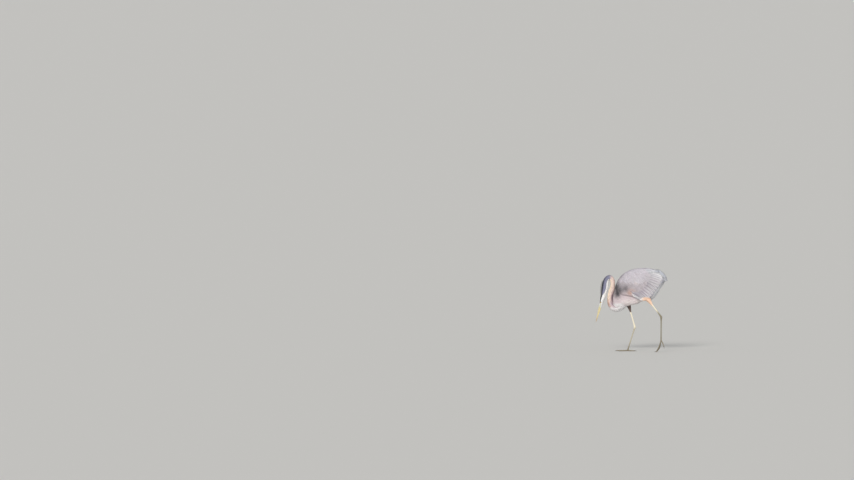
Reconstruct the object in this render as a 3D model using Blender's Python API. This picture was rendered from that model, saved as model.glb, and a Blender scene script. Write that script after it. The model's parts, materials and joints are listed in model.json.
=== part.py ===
"""Great blue heron, a life-size still model stooping to fish, as closed solids for each named part.

Frame: the bird looks towards -X, its left side is towards -Y, +Z is up and the floor is z = 0.
Lengths in the tables are centimetres and become metres through CM.
"""

import math

import bmesh
import bpy
import numpy as np

CM = 0.01
MIDDLE_X = -0.345  # the middle of the bird's length, which becomes x = 0
GAP = 0.0003  # clear space between neighbouring parts
COVER = 0.0005  # how far a cutter stands off its part, so that the space left is at least GAP

# Legs: lengths of the long bones, and where the joints stand
TARSUS = 20.3
ANKLE_LEFT = (27.6, -5.1, 29.7)
ANKLE_RIGHT = (1.2, 4.1, 20.28)
KNEE_LEFT = (10.6, -5.0, 51.0)
KNEE_RIGHT = (-6.7, 4.6, 46.2)
TARSUS_LEAN = math.radians(17.5)
TOE_JOINT_LEFT = (27.6, -5.3, ANKLE_LEFT[2] - TARSUS)
TOE_JOINT_RIGHT = (
    ANKLE_RIGHT[0] - TARSUS * math.sin(TARSUS_LEAN),
    3.5,
    ANKLE_RIGHT[2] - TARSUS * math.cos(TARSUS_LEAN),
)
FEATHERED_LEFT = 0.56  # share of the knee-to-ankle length that is feathered
FEATHERED_RIGHT = 0.49

# Bill: from its base to its tip
BILL_BASE = (-28.3, 36.6)
BILL_TIP = (-32.1, 24.0)
BILL_UPPER_SHARE = 0.54  # of the bill's depth

# Eye
EYE_AT = (-27.2, 1.06, 40.9)
EYE_RADIUS = 0.62

# Trunk, upright sections: x, top, bottom, half width
TRUNK = (
    (-16.5, 45.6, 39.6, 1.7),
    (-15.8, 49.0, 37.4, 3.1),
    (-14.5, 53.6, 36.2, 4.5),
    (-12.7, 58.4, 35.6, 5.7),
    (-10.1, 62.7, 35.9, 6.8),
    (-6.5, 66.1, 37.6, 7.4),
    (-1.5, 68.7, 38.8, 7.8),
    (4.0, 70.0, 40.0, 7.8),
    (9.5, 70.4, 42.7, 7.4),
    (14.5, 69.7, 47.0, 6.6),
    (18.8, 68.0, 51.7, 5.4),
    (22.3, 66.4, 56.0, 3.7),
    (24.8, 64.6, 59.6, 1.9),
)
TRUNK_FRONT = (-16.8, 42.6)
TRUNK_REAR = (25.6, 62.2)

# Neck, from inside the breast round the low fold, up, over the top bend and down to the nape:
# x, z, half width, half depth
NECK = (
    (-5.0, 42.0, 3.6, 3.4),
    (-9.5, 38.8, 3.7, 3.9),
    (-13.4, 37.0, 3.6, 4.0),
    (-16.7, 37.9, 3.3, 3.7),
    (-18.8, 40.6, 2.9, 3.0),
    (-19.4, 44.0, 2.5, 2.6),
    (-19.1, 47.2, 2.3, 2.6),
    (-18.3, 50.2, 2.2, 2.6),
    (-17.4, 53.2, 2.1, 2.4),
    (-17.0, 56.2, 2.0, 2.1),
    (-17.3, 59.0, 2.0, 2.1),
    (-18.5, 61.2, 2.0, 2.2),
    (-20.4, 61.9, 2.0, 2.2),
    (-22.2, 60.4, 2.05, 2.5),
    (-23.3, 57.6, 2.1, 2.9),
    (-23.8, 54.4, 2.15, 3.1),
    (-24.4, 51.2, 2.1, 2.85),
    (-25.0, 48.4, 2.0, 2.35),
    (-25.5, 46.4, 1.95, 2.1),
)
NECK_CUTS = (0.0, 5.0, 10.5, 18.0)  # station numbers at which the neck and head are parted
NECK_PARTS = (
    ("neck_lower", "neck", 10, 16),
    ("neck_middle", "neck", 10, 16),
    ("neck_upper", "neck", 13, 16),
    ("head", "head", 11, 18),
)

# Head, from the nape to the bill: x, z, half width, half depth
HEAD = (
    (-25.5, 46.4, 1.95, 2.1),
    (-26.05, 44.6, 1.95, 1.95),
    (-26.55, 42.8, 1.86, 1.76),
    (-27.0, 41.0, 1.6, 1.6),
    (-27.45, 39.4, 1.3, 1.44),
    (-27.9, 38.0, 1.06, 1.28),
    (-28.3, 36.6, 0.92, 1.16),
)

# Folded wing, upright sections: x, lower edge y and z, upper edge y and z, how far the outer
# and the inner face stand out from the chord between the edges. The right wing is its mirror.
WING = (
    (-11.6, 5.7, 52.4, 4.4, 58.4, 1.1, -0.3),
    (-9.6, 6.4, 49.6, 4.0, 61.7, 2.0, -0.6),
    (-6.0, 7.4, 47.8, 3.4, 65.4, 2.7, -0.9),
    (-1.0, 7.9, 47.2, 2.9, 68.2, 3.1, -1.0),
    (4.5, 8.0, 46.2, 2.7, 69.7, 3.2, -0.9),
    (9.5, 7.5, 44.0, 2.6, 70.1, 3.3, -0.6),
    (14.0, 6.4, 43.3, 2.6, 69.6, 3.1, -0.2),
    (18.0, 5.0, 45.3, 2.6, 68.5, 2.8, 0.2),
    (21.6, 3.6, 49.6, 2.5, 67.2, 2.5, 0.4),
    (25.0, 2.7, 54.2, 2.4, 66.0, 1.8, 0.4),
    (27.6, 2.2, 57.8, 2.3, 63.8, 1.1, 0.3),
    (29.4, 2.0, 60.0, 2.2, 61.6, 0.5, 0.1),
)

# Tail: x, z, half width, half thickness
TAIL = (
    (15.6, 66.9, 2.6, 1.1),
    (19.6, 67.7, 2.9, 1.2),
    (23.0, 67.9, 3.3, 1.15),
    (26.0, 66.6, 3.6, 0.95),
    (28.6, 64.2, 3.8, 0.7),
    (30.3, 61.7, 3.8, 0.45),
    (31.3, 59.7, 3.5, 0.2),
)
TAIL_ARCH = 1.1  # how far its sides droop below its middle

# Two long plumes from the back of the crown: x, y, z of the middle line
PLUME = (
    (-28.0, 0.6, 43.2),
    (-27.75, 0.8, 46.4),
    (-27.65, 0.9, 50.4),
    (-27.4, 1.0, 54.4),
    (-26.9, 1.15, 57.8),
    (-25.7, 1.35, 60.9),
)
PLUME_HALF_WIDTH = 0.26
PLUME_HALF_DEPTH = 0.06

# Toes of the flat foot: turn from straight ahead in degrees (positive outwards), length, claw
TOES = {
    "inner": (-36.0, 7.6, 1.4),
    "middle": (0.0, 9.9, 1.6),
    "outer": (34.0, 8.8, 1.4),
    "hind": (168.0, 5.4, 2.0),
}
TOE_HALF_THICK = (0.46, 0.33)  # at its root, at its tip
# The raised foot: how far each length of a toe tips below the horizontal, and its length
RAISED = {
    "inner": ((66.0, 2.7), (62.0, 2.6), (52.0, 2.3)),
    "middle": ((77.0, 3.9), (69.0, 3.2), (50.0, 2.8), (8.0, 0.9)),
    "outer": ((70.0, 3.0), (66.0, 2.9), (56.0, 2.6)),
    "hind": ((62.0, 2.6), (70.0, 2.6)),
}
SOLE = 0.12  # whatever comes this near the floor lies flat on it
TOE_START = (0.1, 0.55)  # how far from the hub's middle a front toe and the hind toe begin
CLAW_ROOT = 0.3  # how far a claw's root is set into its toe before the toe's room is cut
RAISED_TURN = {"inner": -48.0, "middle": 0.0, "outer": 44.0, "hind": 170.0}

COLOURS = {
    "trunk": (0.42, 0.43, 0.48),
    "neck": (0.55, 0.47, 0.47),
    "head": (0.85, 0.84, 0.82),
    "bill": (0.72, 0.55, 0.25),
    "eye": (0.85, 0.65, 0.10),
    "plume": (0.03, 0.03, 0.04),
    "wing": (0.33, 0.35, 0.40),
    "tail": (0.38, 0.40, 0.46),
    "thigh": (0.58, 0.30, 0.18),
    "leg": (0.45, 0.42, 0.34),
    "claw": (0.06, 0.05, 0.04),
}


def clear_scene():
    """Empties the startup scene and makes one collection for the bird and one for cutters."""
    for item in list(bpy.data.objects):
        bpy.data.objects.remove(item, do_unlink=True)
    bird = bpy.data.collections.new("great_blue_heron")
    cutters = bpy.data.collections.new("cutters")
    cutters.hide_render = True
    bpy.context.scene.collection.children.link(bird)
    bpy.context.scene.collection.children.link(cutters)
    return bird, cutters


def material(kind):
    """The plain material of one kind of part, made once."""
    name = "heron_" + kind
    if name in bpy.data.materials:
        return bpy.data.materials[name]
    made = bpy.data.materials.new(name)
    made.use_nodes = True
    shader = made.node_tree.nodes["Principled BSDF"]
    shader.inputs["Base Color"].default_value = (*COLOURS[kind], 1.0)
    shader.inputs["Roughness"].default_value = 0.1 if kind == "eye" else 0.6
    shader.inputs["Metallic"].default_value = 0.0
    made.diffuse_color = (*COLOURS[kind], 1.0)
    return made


def spline(values, at):
    """A smooth curve through the rows of values, read at the station numbers at."""
    values = np.asarray(values, float)
    last = len(values) - 1
    padded = np.vstack([2 * values[0] - values[1], values, 2 * values[-1] - values[-2]])
    at = np.asarray(at, float)
    i = np.clip(np.floor(at).astype(int), 0, last - 1)
    t = (at - i)[:, None]
    a, b, c, d = (padded[i + k] for k in range(4))
    return 0.5 * (
        2 * b + (c - a) * t + (2 * a - 5 * b + 4 * c - d) * t**2 + (3 * b - a - 3 * c + d) * t**3
    )


def unit(v):
    """Rows scaled to length one."""
    return v / np.linalg.norm(v, axis=-1, keepdims=True)


def build(name, kind, rings, start, end, collection):
    """A closed object from rings of points, closed at each end by a fan to the given point."""
    count, around = rings.shape[:2]
    points = (np.vstack([rings.reshape(-1, 3), start[None], end[None]]) - [MIDDLE_X, 0, 0]) * CM
    faces = []
    for i in range(count - 1):
        for j in range(around):
            k = (j + 1) % around
            faces.append((i * around + j, i * around + k, (i + 1) * around + k, (i + 1) * around + j))
    first, final = count * around, count * around + 1
    for j in range(around):
        k = (j + 1) % around
        faces.append((first, k, j))
        faces.append((final, (count - 1) * around + j, (count - 1) * around + k))
    mesh = bpy.data.meshes.new(name)
    mesh.from_pydata([tuple(p) for p in points], [], faces)
    shape = bmesh.new()
    shape.from_mesh(mesh)
    bmesh.ops.recalc_face_normals(shape, faces=shape.faces)
    if shape.calc_volume(signed=True) < 0:
        bmesh.ops.reverse_faces(shape, faces=shape.faces)
    bmesh.ops.triangulate(shape, faces=shape.faces)
    shape.to_mesh(mesh)
    shape.free()
    for face in mesh.polygons:
        face.use_smooth = True
    mesh.materials.append(material(kind))
    made = bpy.data.objects.new(name, mesh)
    collection.objects.link(made)
    return made


def cutter_of(part, cutters):
    """A copy of a part, grown a little all round, that cuts room for it in its neighbours."""
    mesh = part.data.copy()
    shape = bmesh.new()
    shape.from_mesh(mesh)
    shape.normal_update()
    moved = [(v, v.co + v.normal * COVER) for v in shape.verts]
    for v, place in moved:
        v.co = place
    shape.to_mesh(mesh)
    shape.free()
    made = bpy.data.objects.new("cut_" + part.name, mesh)
    made.hide_render = True
    made.display_type = "WIRE"
    cutters.objects.link(made)
    return made


def cut(part, *cutters):
    """Takes each cutter away from the part."""
    for cutter in cutters:
        step = part.modifiers.new("less_" + cutter.name, "BOOLEAN")
        step.operation = "DIFFERENCE"
        step.solver = "EXACT"
        step.object = cutter


def round_section(around, power=2.0):
    """Points of a rounded outline of half sizes one: across, deep."""
    angle = np.arange(around) * 2 * math.pi / around
    across = np.sign(np.cos(angle)) * np.abs(np.cos(angle)) ** (2 / power)
    deep = np.sign(np.sin(angle)) * np.abs(np.sin(angle)) ** (2 / power)
    return across, deep


def frames(middle):
    """For points along a path: the direction, the sideways direction and the third direction."""
    ahead = unit(np.gradient(middle, axis=0))
    side = np.array([0.0, 1.0, 0.0]) - ahead * ahead[:, 1:2]
    side = unit(side)
    return ahead, side, np.cross(ahead, side)


def swept(middle, half_width, half_depth, around, power=2.0):
    """Rings of the given half sizes across a path."""
    _, side, up = frames(middle)
    across, deep = round_section(around, power)
    return (
        middle[:, None]
        + side[:, None] * (half_width[:, None] * across)[..., None]
        + up[:, None] * (half_depth[:, None] * deep)[..., None]
    )


def trunk_sections(at, around):
    """Upright rounded sections of the trunk at the given station numbers."""
    x, top, bottom, half = spline(TRUNK, at).T
    across, deep = round_section(around, 2.15)
    y = half[:, None] * across
    z = (top + bottom)[:, None] / 2 + (top - bottom)[:, None] / 2 * deep
    return np.stack([np.broadcast_to(x[:, None], y.shape), y, z], -1)


def add_trunk(bird):
    """The trunk from the breast to the rump, without the wings."""
    at = np.linspace(0, len(TRUNK) - 1, 20)
    front = np.array([TRUNK_FRONT[0], 0, TRUNK_FRONT[1]])
    rear = np.array([TRUNK_REAR[0], 0, TRUNK_REAR[1]])
    return build("trunk", "trunk", trunk_sections(at, 24), front, rear, bird)


def add_neck_and_head(bird):
    """Neck and head as one sweep, parted into low fold, rising length, hanging length and head."""
    line = NECK[:-1] + HEAD
    whole = np.linspace(0, len(line) - 1, 961)
    path = spline(line, whole)[:, :2]
    path = np.stack([path[:, 0], np.zeros(len(path)), path[:, 1]], -1)
    ways = unit(np.gradient(path, axis=0))
    side = np.array([0.0, 1.0, 0.0])
    ends = (*NECK_CUTS, len(line) - 1.0)
    parts = []
    for (name, kind, count, around), a, b in zip(NECK_PARTS, ends[:-1], ends[1:]):
        at = np.linspace(a, b, count)
        x, z, width, depth = spline(line, at).T
        middle = np.stack([x, np.zeros(count), z], -1)
        ahead = np.stack([np.interp(at, whole, ways[:, k]) for k in range(3)], -1)
        up = unit(np.cross(ahead, side))
        across, deep = round_section(around)
        rings = (
            middle[:, None]
            + side * (width[:, None] * across)[..., None]
            + up[:, None] * (depth[:, None] * deep)[..., None]
        )
        if a > 0:
            rings[0] += ahead[0] * GAP / CM / 2
        rings[-1] -= ahead[-1] * GAP / CM / 2
        parts.append(build(name, kind, rings, rings[0].mean(0), rings[-1].mean(0), bird))
    return parts


def add_bill(bird):
    """The two halves of the bill, with the gape as a thin gap between their flat faces."""
    base = np.array([BILL_BASE[0], 0, BILL_BASE[1]])
    tip = np.array([BILL_TIP[0], 0, BILL_TIP[1]])
    way = unit((tip - base)[None])[0]
    crown = np.cross(np.array([0.0, 1.0, 0.0]), way)
    crown = crown if crown[0] < 0 else -crown
    share = np.array([0, 0.12, 0.27, 0.44, 0.62, 0.78, 0.9, 0.97, 1.0])
    depth = 2.3 * (1 - share) ** 0.86 + 0.1
    width = 0.9 * (1 - share) ** 0.9 + 0.07
    parts = []
    for name, sense, part in (
        ("bill_upper", 1, BILL_UPPER_SHARE),
        ("bill_lower", -1, 1 - BILL_UPPER_SHARE),
    ):
        angle = np.linspace(0, math.pi, 9)
        rings = []
        for s, d, w in zip(share, depth, width):
            root = base + way * (GAP / CM / 2 + s * np.linalg.norm(tip - base))
            height = d * part
            gape = crown * (0.08 * (1 - s) + sense * GAP / CM / 2)
            arc = [
                root + gape + np.array([0, w * math.cos(a), 0]) + crown * sense * height * math.sin(a) ** 0.8
                for a in angle
            ]
            rings.append(arc)
        rings = np.array(rings)
        parts.append(build(name, "bill", rings, rings[0].mean(0), rings[-1].mean(0), bird))
    return parts


def eye_place(sense):
    """The middle of the eyeball on the side that sense gives, in metres."""
    return ((EYE_AT[0] - MIDDLE_X) * CM, sense * EYE_AT[1] * CM, EYE_AT[2] * CM)


def add_eyes(bird):
    """The two eyeballs."""
    made = []
    for name, sense in (("eye_left", -1), ("eye_right", 1)):
        bpy.ops.mesh.primitive_uv_sphere_add(segments=12, ring_count=8, radius=EYE_RADIUS * CM)
        eye = bpy.context.object
        eye.name = name
        eye.data.name = name
        eye.location = eye_place(sense)
        eye.rotation_euler = (math.pi / 2, 0, 0)
        for face in eye.data.polygons:
            face.use_smooth = True
        eye.data.materials.append(material("eye"))
        for holder in list(eye.users_collection):
            holder.objects.unlink(eye)
        bird.objects.link(eye)
        made.append(eye)
    return made


def add_eye_sockets(head, cutters):
    """Rounds cut in the head for the eyeballs."""
    for sense in (-1, 1):
        bpy.ops.mesh.primitive_uv_sphere_add(
            segments=12, ring_count=8, radius=EYE_RADIUS * CM + COVER
        )
        socket = bpy.context.object
        socket.name = "socket_left" if sense < 0 else "socket_right"
        socket.location = eye_place(sense)
        socket.rotation_euler = (math.pi / 2, 0, 0)
        socket.hide_render = True
        socket.display_type = "WIRE"
        for holder in list(socket.users_collection):
            holder.objects.unlink(socket)
        cutters.objects.link(socket)
        cut(head, socket)


def add_plumes(bird):
    """The two long plumes of the crown, each a narrow tapering blade."""
    made = []
    for name, sense in (("plume_left", -1), ("plume_right", 1)):
        at = np.linspace(0, len(PLUME) - 1, 10)
        middle = spline(PLUME, at)
        middle[:, 1] *= sense
        share = np.linspace(0, 1, len(at))
        taper = np.sin(np.pi * np.clip(0.18 + 0.8 * share, 0, 1)) ** 0.6
        width = PLUME_HALF_WIDTH * taper + 0.04
        depth = PLUME_HALF_DEPTH * (1 - 0.45 * share)
        rings = swept(middle, width, depth, 6)
        made.append(build(name, "plume", rings, rings[0].mean(0), rings[-1].mean(0), bird))
    return made


def add_wing(bird, name, sense):
    """A folded wing: sections that bulge outwards between a lower and an upper edge."""
    at = np.linspace(0, len(WING) - 1, 17)
    x, low_y, low_z, top_y, top_z, outer, inner = spline(WING, at).T
    angle = np.arange(16) * 2 * math.pi / 16
    rings = []
    for i in range(len(at)):
        low = np.array([x[i], -low_y[i], low_z[i]])
        top = np.array([x[i], -top_y[i], top_z[i]])
        chord = top - low
        out = np.cross(unit(chord[None])[0], np.array([1.0, 0.0, 0.0]))
        out = out if out[1] < 0 else -out
        ring = []
        for a in angle:
            place = 0.5 + 0.5 * math.cos(a)
            swell = abs(math.sin(a)) ** 0.9
            bulge = outer[i] * swell if math.sin(a) > 0 else inner[i] * swell
            edge = 0.12 * math.sin(a)
            ring.append(low + chord * place + out * (bulge + edge))
        rings.append(ring)
    rings = np.array(rings)
    rings[..., 1] *= -sense
    front = rings[0].mean(0) - np.array([0.5, 0, 0])
    rear = rings[-1].mean(0) + np.array([0.35, 0, 0])
    return build(name, "wing", rings, front, rear, bird)


def add_tail(bird):
    """The closed tail: a plate arched from side to side that droops towards its end."""
    at = np.linspace(0, len(TAIL) - 1, 12)
    x, z, width, depth = spline(TAIL, at).T
    middle = np.stack([x, np.zeros(len(at)), z], -1)
    rings = swept(middle, width, depth, 18, 2.4)
    share = np.linspace(0, 1, len(at))
    droop = TAIL_ARCH * (rings[..., 1] / width[:, None]) ** 2 * share[:, None]
    rings[..., 2] -= droop * 0.6
    rings[..., 0] -= droop * 0.5
    return build("tail", "tail", rings, rings[0].mean(0), rings[-1].mean(0), bird)


def between(a, b, share):
    """Points on the straight line from a to b."""
    a, b = np.asarray(a, float), np.asarray(b, float)
    return a + (b - a) * np.asarray(share, float)[:, None]


def add_leg(bird, side, knee, ankle, joint, feathered):
    """Feathered thigh, bare shank with the upper half of the ankle, and the tarsus."""
    length = np.linalg.norm(np.subtract(ankle, knee))
    gap = GAP / CM
    share = np.array([0, 0.1, 0.22, 0.36, 0.52, 0.68, 0.83, 0.94, 1.0]) * feathered
    half = np.array([3.9, 4.1, 3.8, 3.1, 2.3, 1.65, 1.15, 0.85, 0.72])
    middle = between(knee, ankle, share)
    rings = swept(middle, half * 0.86, half, 14)
    thigh = build("thigh_" + side, "thigh", rings, rings[0].mean(0), rings[-1].mean(0), bird)

    share = np.concatenate(
        [[feathered + gap / length], feathered + (1 - feathered) * np.array([0.3, 0.6, 0.8, 0.93, 0.99])]
    )
    half = np.array([0.62, 0.58, 0.56, 0.62, 0.84, 0.62])
    middle = between(knee, ankle, share)
    rings = swept(middle, half, half, 10)
    shank = build("shank_" + side, "leg", rings, rings[0].mean(0), rings[-1].mean(0), bird)

    share = np.array([-0.02, 0.0, 0.035, 0.09, 0.2, 0.5, 0.8, 0.93, 0.975])
    half = np.array([0.6, 0.86, 0.9, 0.66, 0.5, 0.46, 0.48, 0.56, 0.62])
    middle = between(ankle, joint, share)
    rings = swept(middle, half, half * 1.06, 10)
    end = rings[-1].mean(0)
    start = rings[0].mean(0)
    tarsus = build("tarsus_" + side, "leg", rings, start, end, bird)
    return thigh, shank, tarsus


def rest_flat(rings):
    """Presses what reaches down to the floor into a flat sole."""
    rings[..., 2] = np.where(rings[..., 2] < SOLE, 0.0, rings[..., 2])
    return rings


def toe_path_flat(joint, turn, length):
    """A toe lying on the floor, from inside the foot's hub."""
    heading = math.radians(turn)
    ahead = np.array([-math.cos(heading), math.sin(heading), 0.0])
    start = np.array([joint[0], joint[1], 0.62]) + ahead * TOE_START[abs(turn) > 90]
    share = np.array([0.0, 0.12, 0.3, 0.36, 0.42, 0.6, 0.66, 0.72, 0.9, 1.0])
    middle = start + ahead * (share * length)[:, None]
    middle[:, 2] = 0.62 - 0.26 * np.minimum(share / 0.5, 1.0)
    return middle, share, ahead


def toe_half(share):
    """Half thickness along a toe, with a swelling at each joint."""
    root, tip = TOE_HALF_THICK
    swell = sum(0.07 * np.exp(-(((share - at) / 0.05) ** 2)) for at in (0.36, 0.66, 0.93))
    return root + (tip - root) * share + swell


def add_claw(bird, name, start, ahead, length, floor):
    """A curved pointed claw that grows on from a toe."""
    share = np.array([0.0, 0.25, 0.55, 0.8, 1.0])
    middle = start + ahead * (share * length)[:, None]
    middle[:, 2] += 0.16 * np.sin(np.pi * share * 0.9) * length / 1.6
    half = 0.24 * (1 - share) ** 0.8 + 0.035
    if floor:
        drop = (start[2] - 0.05) * share**1.5
        middle[:, 2] -= drop
    rings = swept(middle, half * 0.8, half, 6)
    if floor:
        rest_flat(rings)
    return build(name, "claw", rings, rings[0].mean(0), rings[-1].mean(0), bird)


def add_foot_flat(bird, cutters, side, joint):
    """The foot that stands flat: hub, three toes forward, one back, and their claws."""
    toes = []
    for toe, (turn, length, claw) in TOES.items():
        sense = 1 if side == "right" else -1
        middle, share, ahead = toe_path_flat(joint, turn, length)
        middle[:, 1] = joint[1] + (middle[:, 1] - joint[1]) * sense
        ahead = ahead * np.array([1, sense, 1])
        half = toe_half(share)
        rings = rest_flat(swept(middle, half * 1.05, half, 8, 2.3))
        start, end = rings[0].mean(0), rings[-1].mean(0)
        toes.append(build(f"toe_{toe}_{side}", "leg", rings, start, end, bird))
        root = end - ahead * CLAW_ROOT
        root[2] = 0.3
        nail = add_claw(bird, f"claw_{toe}_{side}", root, ahead, claw, True)
        cut(nail, cutter_of(toes[-1], cutters))
    return toes


def add_foot_raised(bird, cutters, side, joint):
    """The foot on tiptoe: its toes hang steeply and only the middle one meets the floor."""
    toes = []
    sense = 1 if side == "right" else -1
    for toe, lengths in RAISED.items():
        heading = math.radians(RAISED_TURN[toe])
        flat = np.array([-math.cos(heading), math.sin(heading) * sense, 0.0])
        corners = [np.asarray(joint, float) + flat * TOE_START[toe == "hind"]]
        for dip, length in lengths:
            dip = math.radians(dip)
            corners.append(
                corners[-1] + length * (flat * math.cos(dip) - np.array([0, 0, math.sin(dip)]))
            )
        corners = np.array(corners)
        along = np.linspace(0, len(corners) - 1, 10)
        middle = spline(corners, along)
        if toe == "middle":
            middle[:, 2] = np.maximum(middle[:, 2], 0.32)
        share = along / along[-1]
        half = toe_half(share)
        ahead = unit(np.gradient(middle, axis=0))
        side_way = unit(np.cross(ahead, np.array([0.0, 0.0, 1.0]) + flat * 0.3))
        up = np.cross(side_way, ahead)
        across, deep = round_section(8, 2.3)
        rings = (
            middle[:, None]
            + side_way[:, None] * (1.05 * half[:, None] * across)[..., None]
            + up[:, None] * (half[:, None] * deep)[..., None]
        )
        rest_flat(rings)
        start, end = rings[0].mean(0), rings[-1].mean(0)
        toes.append(build(f"toe_{toe}_{side}", "leg", rings, start, end, bird))
        end_way = unit((middle[-1] - middle[-2])[None])[0]
        root = end - end_way * CLAW_ROOT
        nail = add_claw(bird, f"claw_{toe}_{side}", root, end_way, TOES[toe][2], toe == "middle")
        cut(nail, cutter_of(toes[-1], cutters))
    return toes


def add_hub(bird, side, joint, way):
    """The knob at the foot of the tarsus that the toes spring from."""
    way = np.asarray(way, float)
    share = np.array([0.0, 0.25, 0.6, 1.0, 1.3])
    middle = np.asarray(joint, float) + way * (share - 0.55)[:, None]
    half = np.array([0.62, 0.72, 0.82, 0.72, 0.5])
    rings = rest_flat(swept(middle, half, half * 1.02, 12))
    start, end = rings[0].mean(0), rings[-1].mean(0)
    return build("foot_" + side, "leg", rings, start, end, bird)


def main():
    bird, cutters = clear_scene()
    trunk = add_trunk(bird)
    neck_lower, neck_middle, neck_upper, head = add_neck_and_head(bird)
    add_bill(bird)
    add_eyes(bird)
    add_eye_sockets(head, cutters)
    plumes = add_plumes(bird)
    left_wing = add_wing(bird, "wing_left", -1)
    right_wing = add_wing(bird, "wing_right", 1)
    tail = add_tail(bird)

    trunk_room = cutter_of(trunk, cutters)
    cut(neck_lower, trunk_room)
    cut(neck_middle, trunk_room)
    cut(tail, trunk_room)
    tail_room = cutter_of(tail, cutters)
    for wing in (left_wing, right_wing):
        cut(wing, trunk_room, tail_room)
    head_room = cutter_of(head, cutters)
    neck_room = cutter_of(neck_upper, cutters)
    for plume in plumes:
        cut(plume, head_room, neck_room)

    for side, knee, ankle, joint, feathered, wing in (
        ("left", KNEE_LEFT, ANKLE_LEFT, TOE_JOINT_LEFT, FEATHERED_LEFT, left_wing),
        ("right", KNEE_RIGHT, ANKLE_RIGHT, TOE_JOINT_RIGHT, FEATHERED_RIGHT, right_wing),
    ):
        thigh, shank, tarsus = add_leg(bird, side, knee, ankle, joint, feathered)
        cut(thigh, trunk_room, cutter_of(wing, cutters))
        cut(shank, cutter_of(tarsus, cutters))
        way = unit(np.subtract(joint, ankle)[None])[0]
        hub = add_hub(bird, side, joint, way)
        add_foot = add_foot_raised if side == "left" else add_foot_flat
        toes = add_foot(bird, cutters, side, joint)
        hub_room = cutter_of(hub, cutters)
        cut(tarsus, hub_room)
        inner, middle, outer, hind = toes
        middle_room = cutter_of(middle, cutters)
        cut(middle, hub_room)
        cut(hind, hub_room)
        cut(inner, hub_room, middle_room)
        cut(outer, hub_room, middle_room)


main()
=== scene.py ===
"""Great blue heron stooping to fish: one skin, its plumage, bill, eyes, scales, claws and a plain stage.

The bird looks towards -X, its left side is towards -Y and +Z is up. Tables are in centimetres, and
CM turns them into metres. Colours are sRGB hex values that linear() turns to linear ones.
"""

import json
import math
from functools import cached_property, wraps
from types import SimpleNamespace

import bpy
import numpy as np
from bpy.props import FloatProperty, FloatVectorProperty, PointerProperty
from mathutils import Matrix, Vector
from mathutils.bvhtree import BVHTree
from mathutils.kdtree import KDTree

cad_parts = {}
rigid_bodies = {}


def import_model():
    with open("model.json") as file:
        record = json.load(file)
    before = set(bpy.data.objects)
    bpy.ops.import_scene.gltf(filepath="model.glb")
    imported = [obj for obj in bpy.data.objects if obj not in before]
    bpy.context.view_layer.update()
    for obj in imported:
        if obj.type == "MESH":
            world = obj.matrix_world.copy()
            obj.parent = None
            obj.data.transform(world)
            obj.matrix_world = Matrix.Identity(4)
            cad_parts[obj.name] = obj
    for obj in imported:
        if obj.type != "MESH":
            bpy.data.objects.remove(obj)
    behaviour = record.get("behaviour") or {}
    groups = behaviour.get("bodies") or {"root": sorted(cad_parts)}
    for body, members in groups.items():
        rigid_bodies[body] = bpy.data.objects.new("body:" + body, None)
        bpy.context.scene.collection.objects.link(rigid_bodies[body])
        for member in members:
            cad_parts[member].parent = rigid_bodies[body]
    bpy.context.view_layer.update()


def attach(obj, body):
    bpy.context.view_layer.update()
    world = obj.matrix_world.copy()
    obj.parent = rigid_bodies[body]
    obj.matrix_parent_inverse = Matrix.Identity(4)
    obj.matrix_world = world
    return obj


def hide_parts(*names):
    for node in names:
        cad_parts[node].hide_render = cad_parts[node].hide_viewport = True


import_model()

bl_info = {
    "name": "Great Blue Heron",
    "version": (1, 0, 0),
    "blender": (4, 5, 0),
    "location": "3D View > Sidebar > Heron",
    "description": "Builds the skin, plumage, bill, eyes and legs of a stooping great blue heron",
    "category": "Object",
}

CM = 0.01
MM = 0.001
MIDDLE_X = -0.345  # the middle of the bird's length in the tables, which becomes x = 0
TURN = 2 * math.pi
ACROSS = np.array([0.0, 1.0, 0.0])
UP = np.array([0.0, 0.0, 1.0])
MIRROR = [1, -1, 1]

# Trunk, upright sections: x, top, bottom, half width
TRUNK = (
    (-16.5, 45.6, 39.6, 1.7),
    (-15.8, 49.0, 37.4, 3.1),
    (-14.5, 53.6, 36.2, 4.5),
    (-12.7, 58.4, 35.6, 5.7),
    (-10.1, 62.7, 35.9, 6.8),
    (-6.5, 66.1, 37.6, 7.4),
    (-1.5, 68.7, 38.8, 7.8),
    (4.0, 70.0, 40.0, 7.8),
    (9.5, 70.4, 42.7, 7.4),
    (14.5, 69.7, 47.0, 6.6),
    (18.8, 68.0, 51.7, 5.4),
    (22.3, 66.4, 56.0, 3.7),
    (24.8, 64.6, 59.6, 1.9),
)

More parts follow.
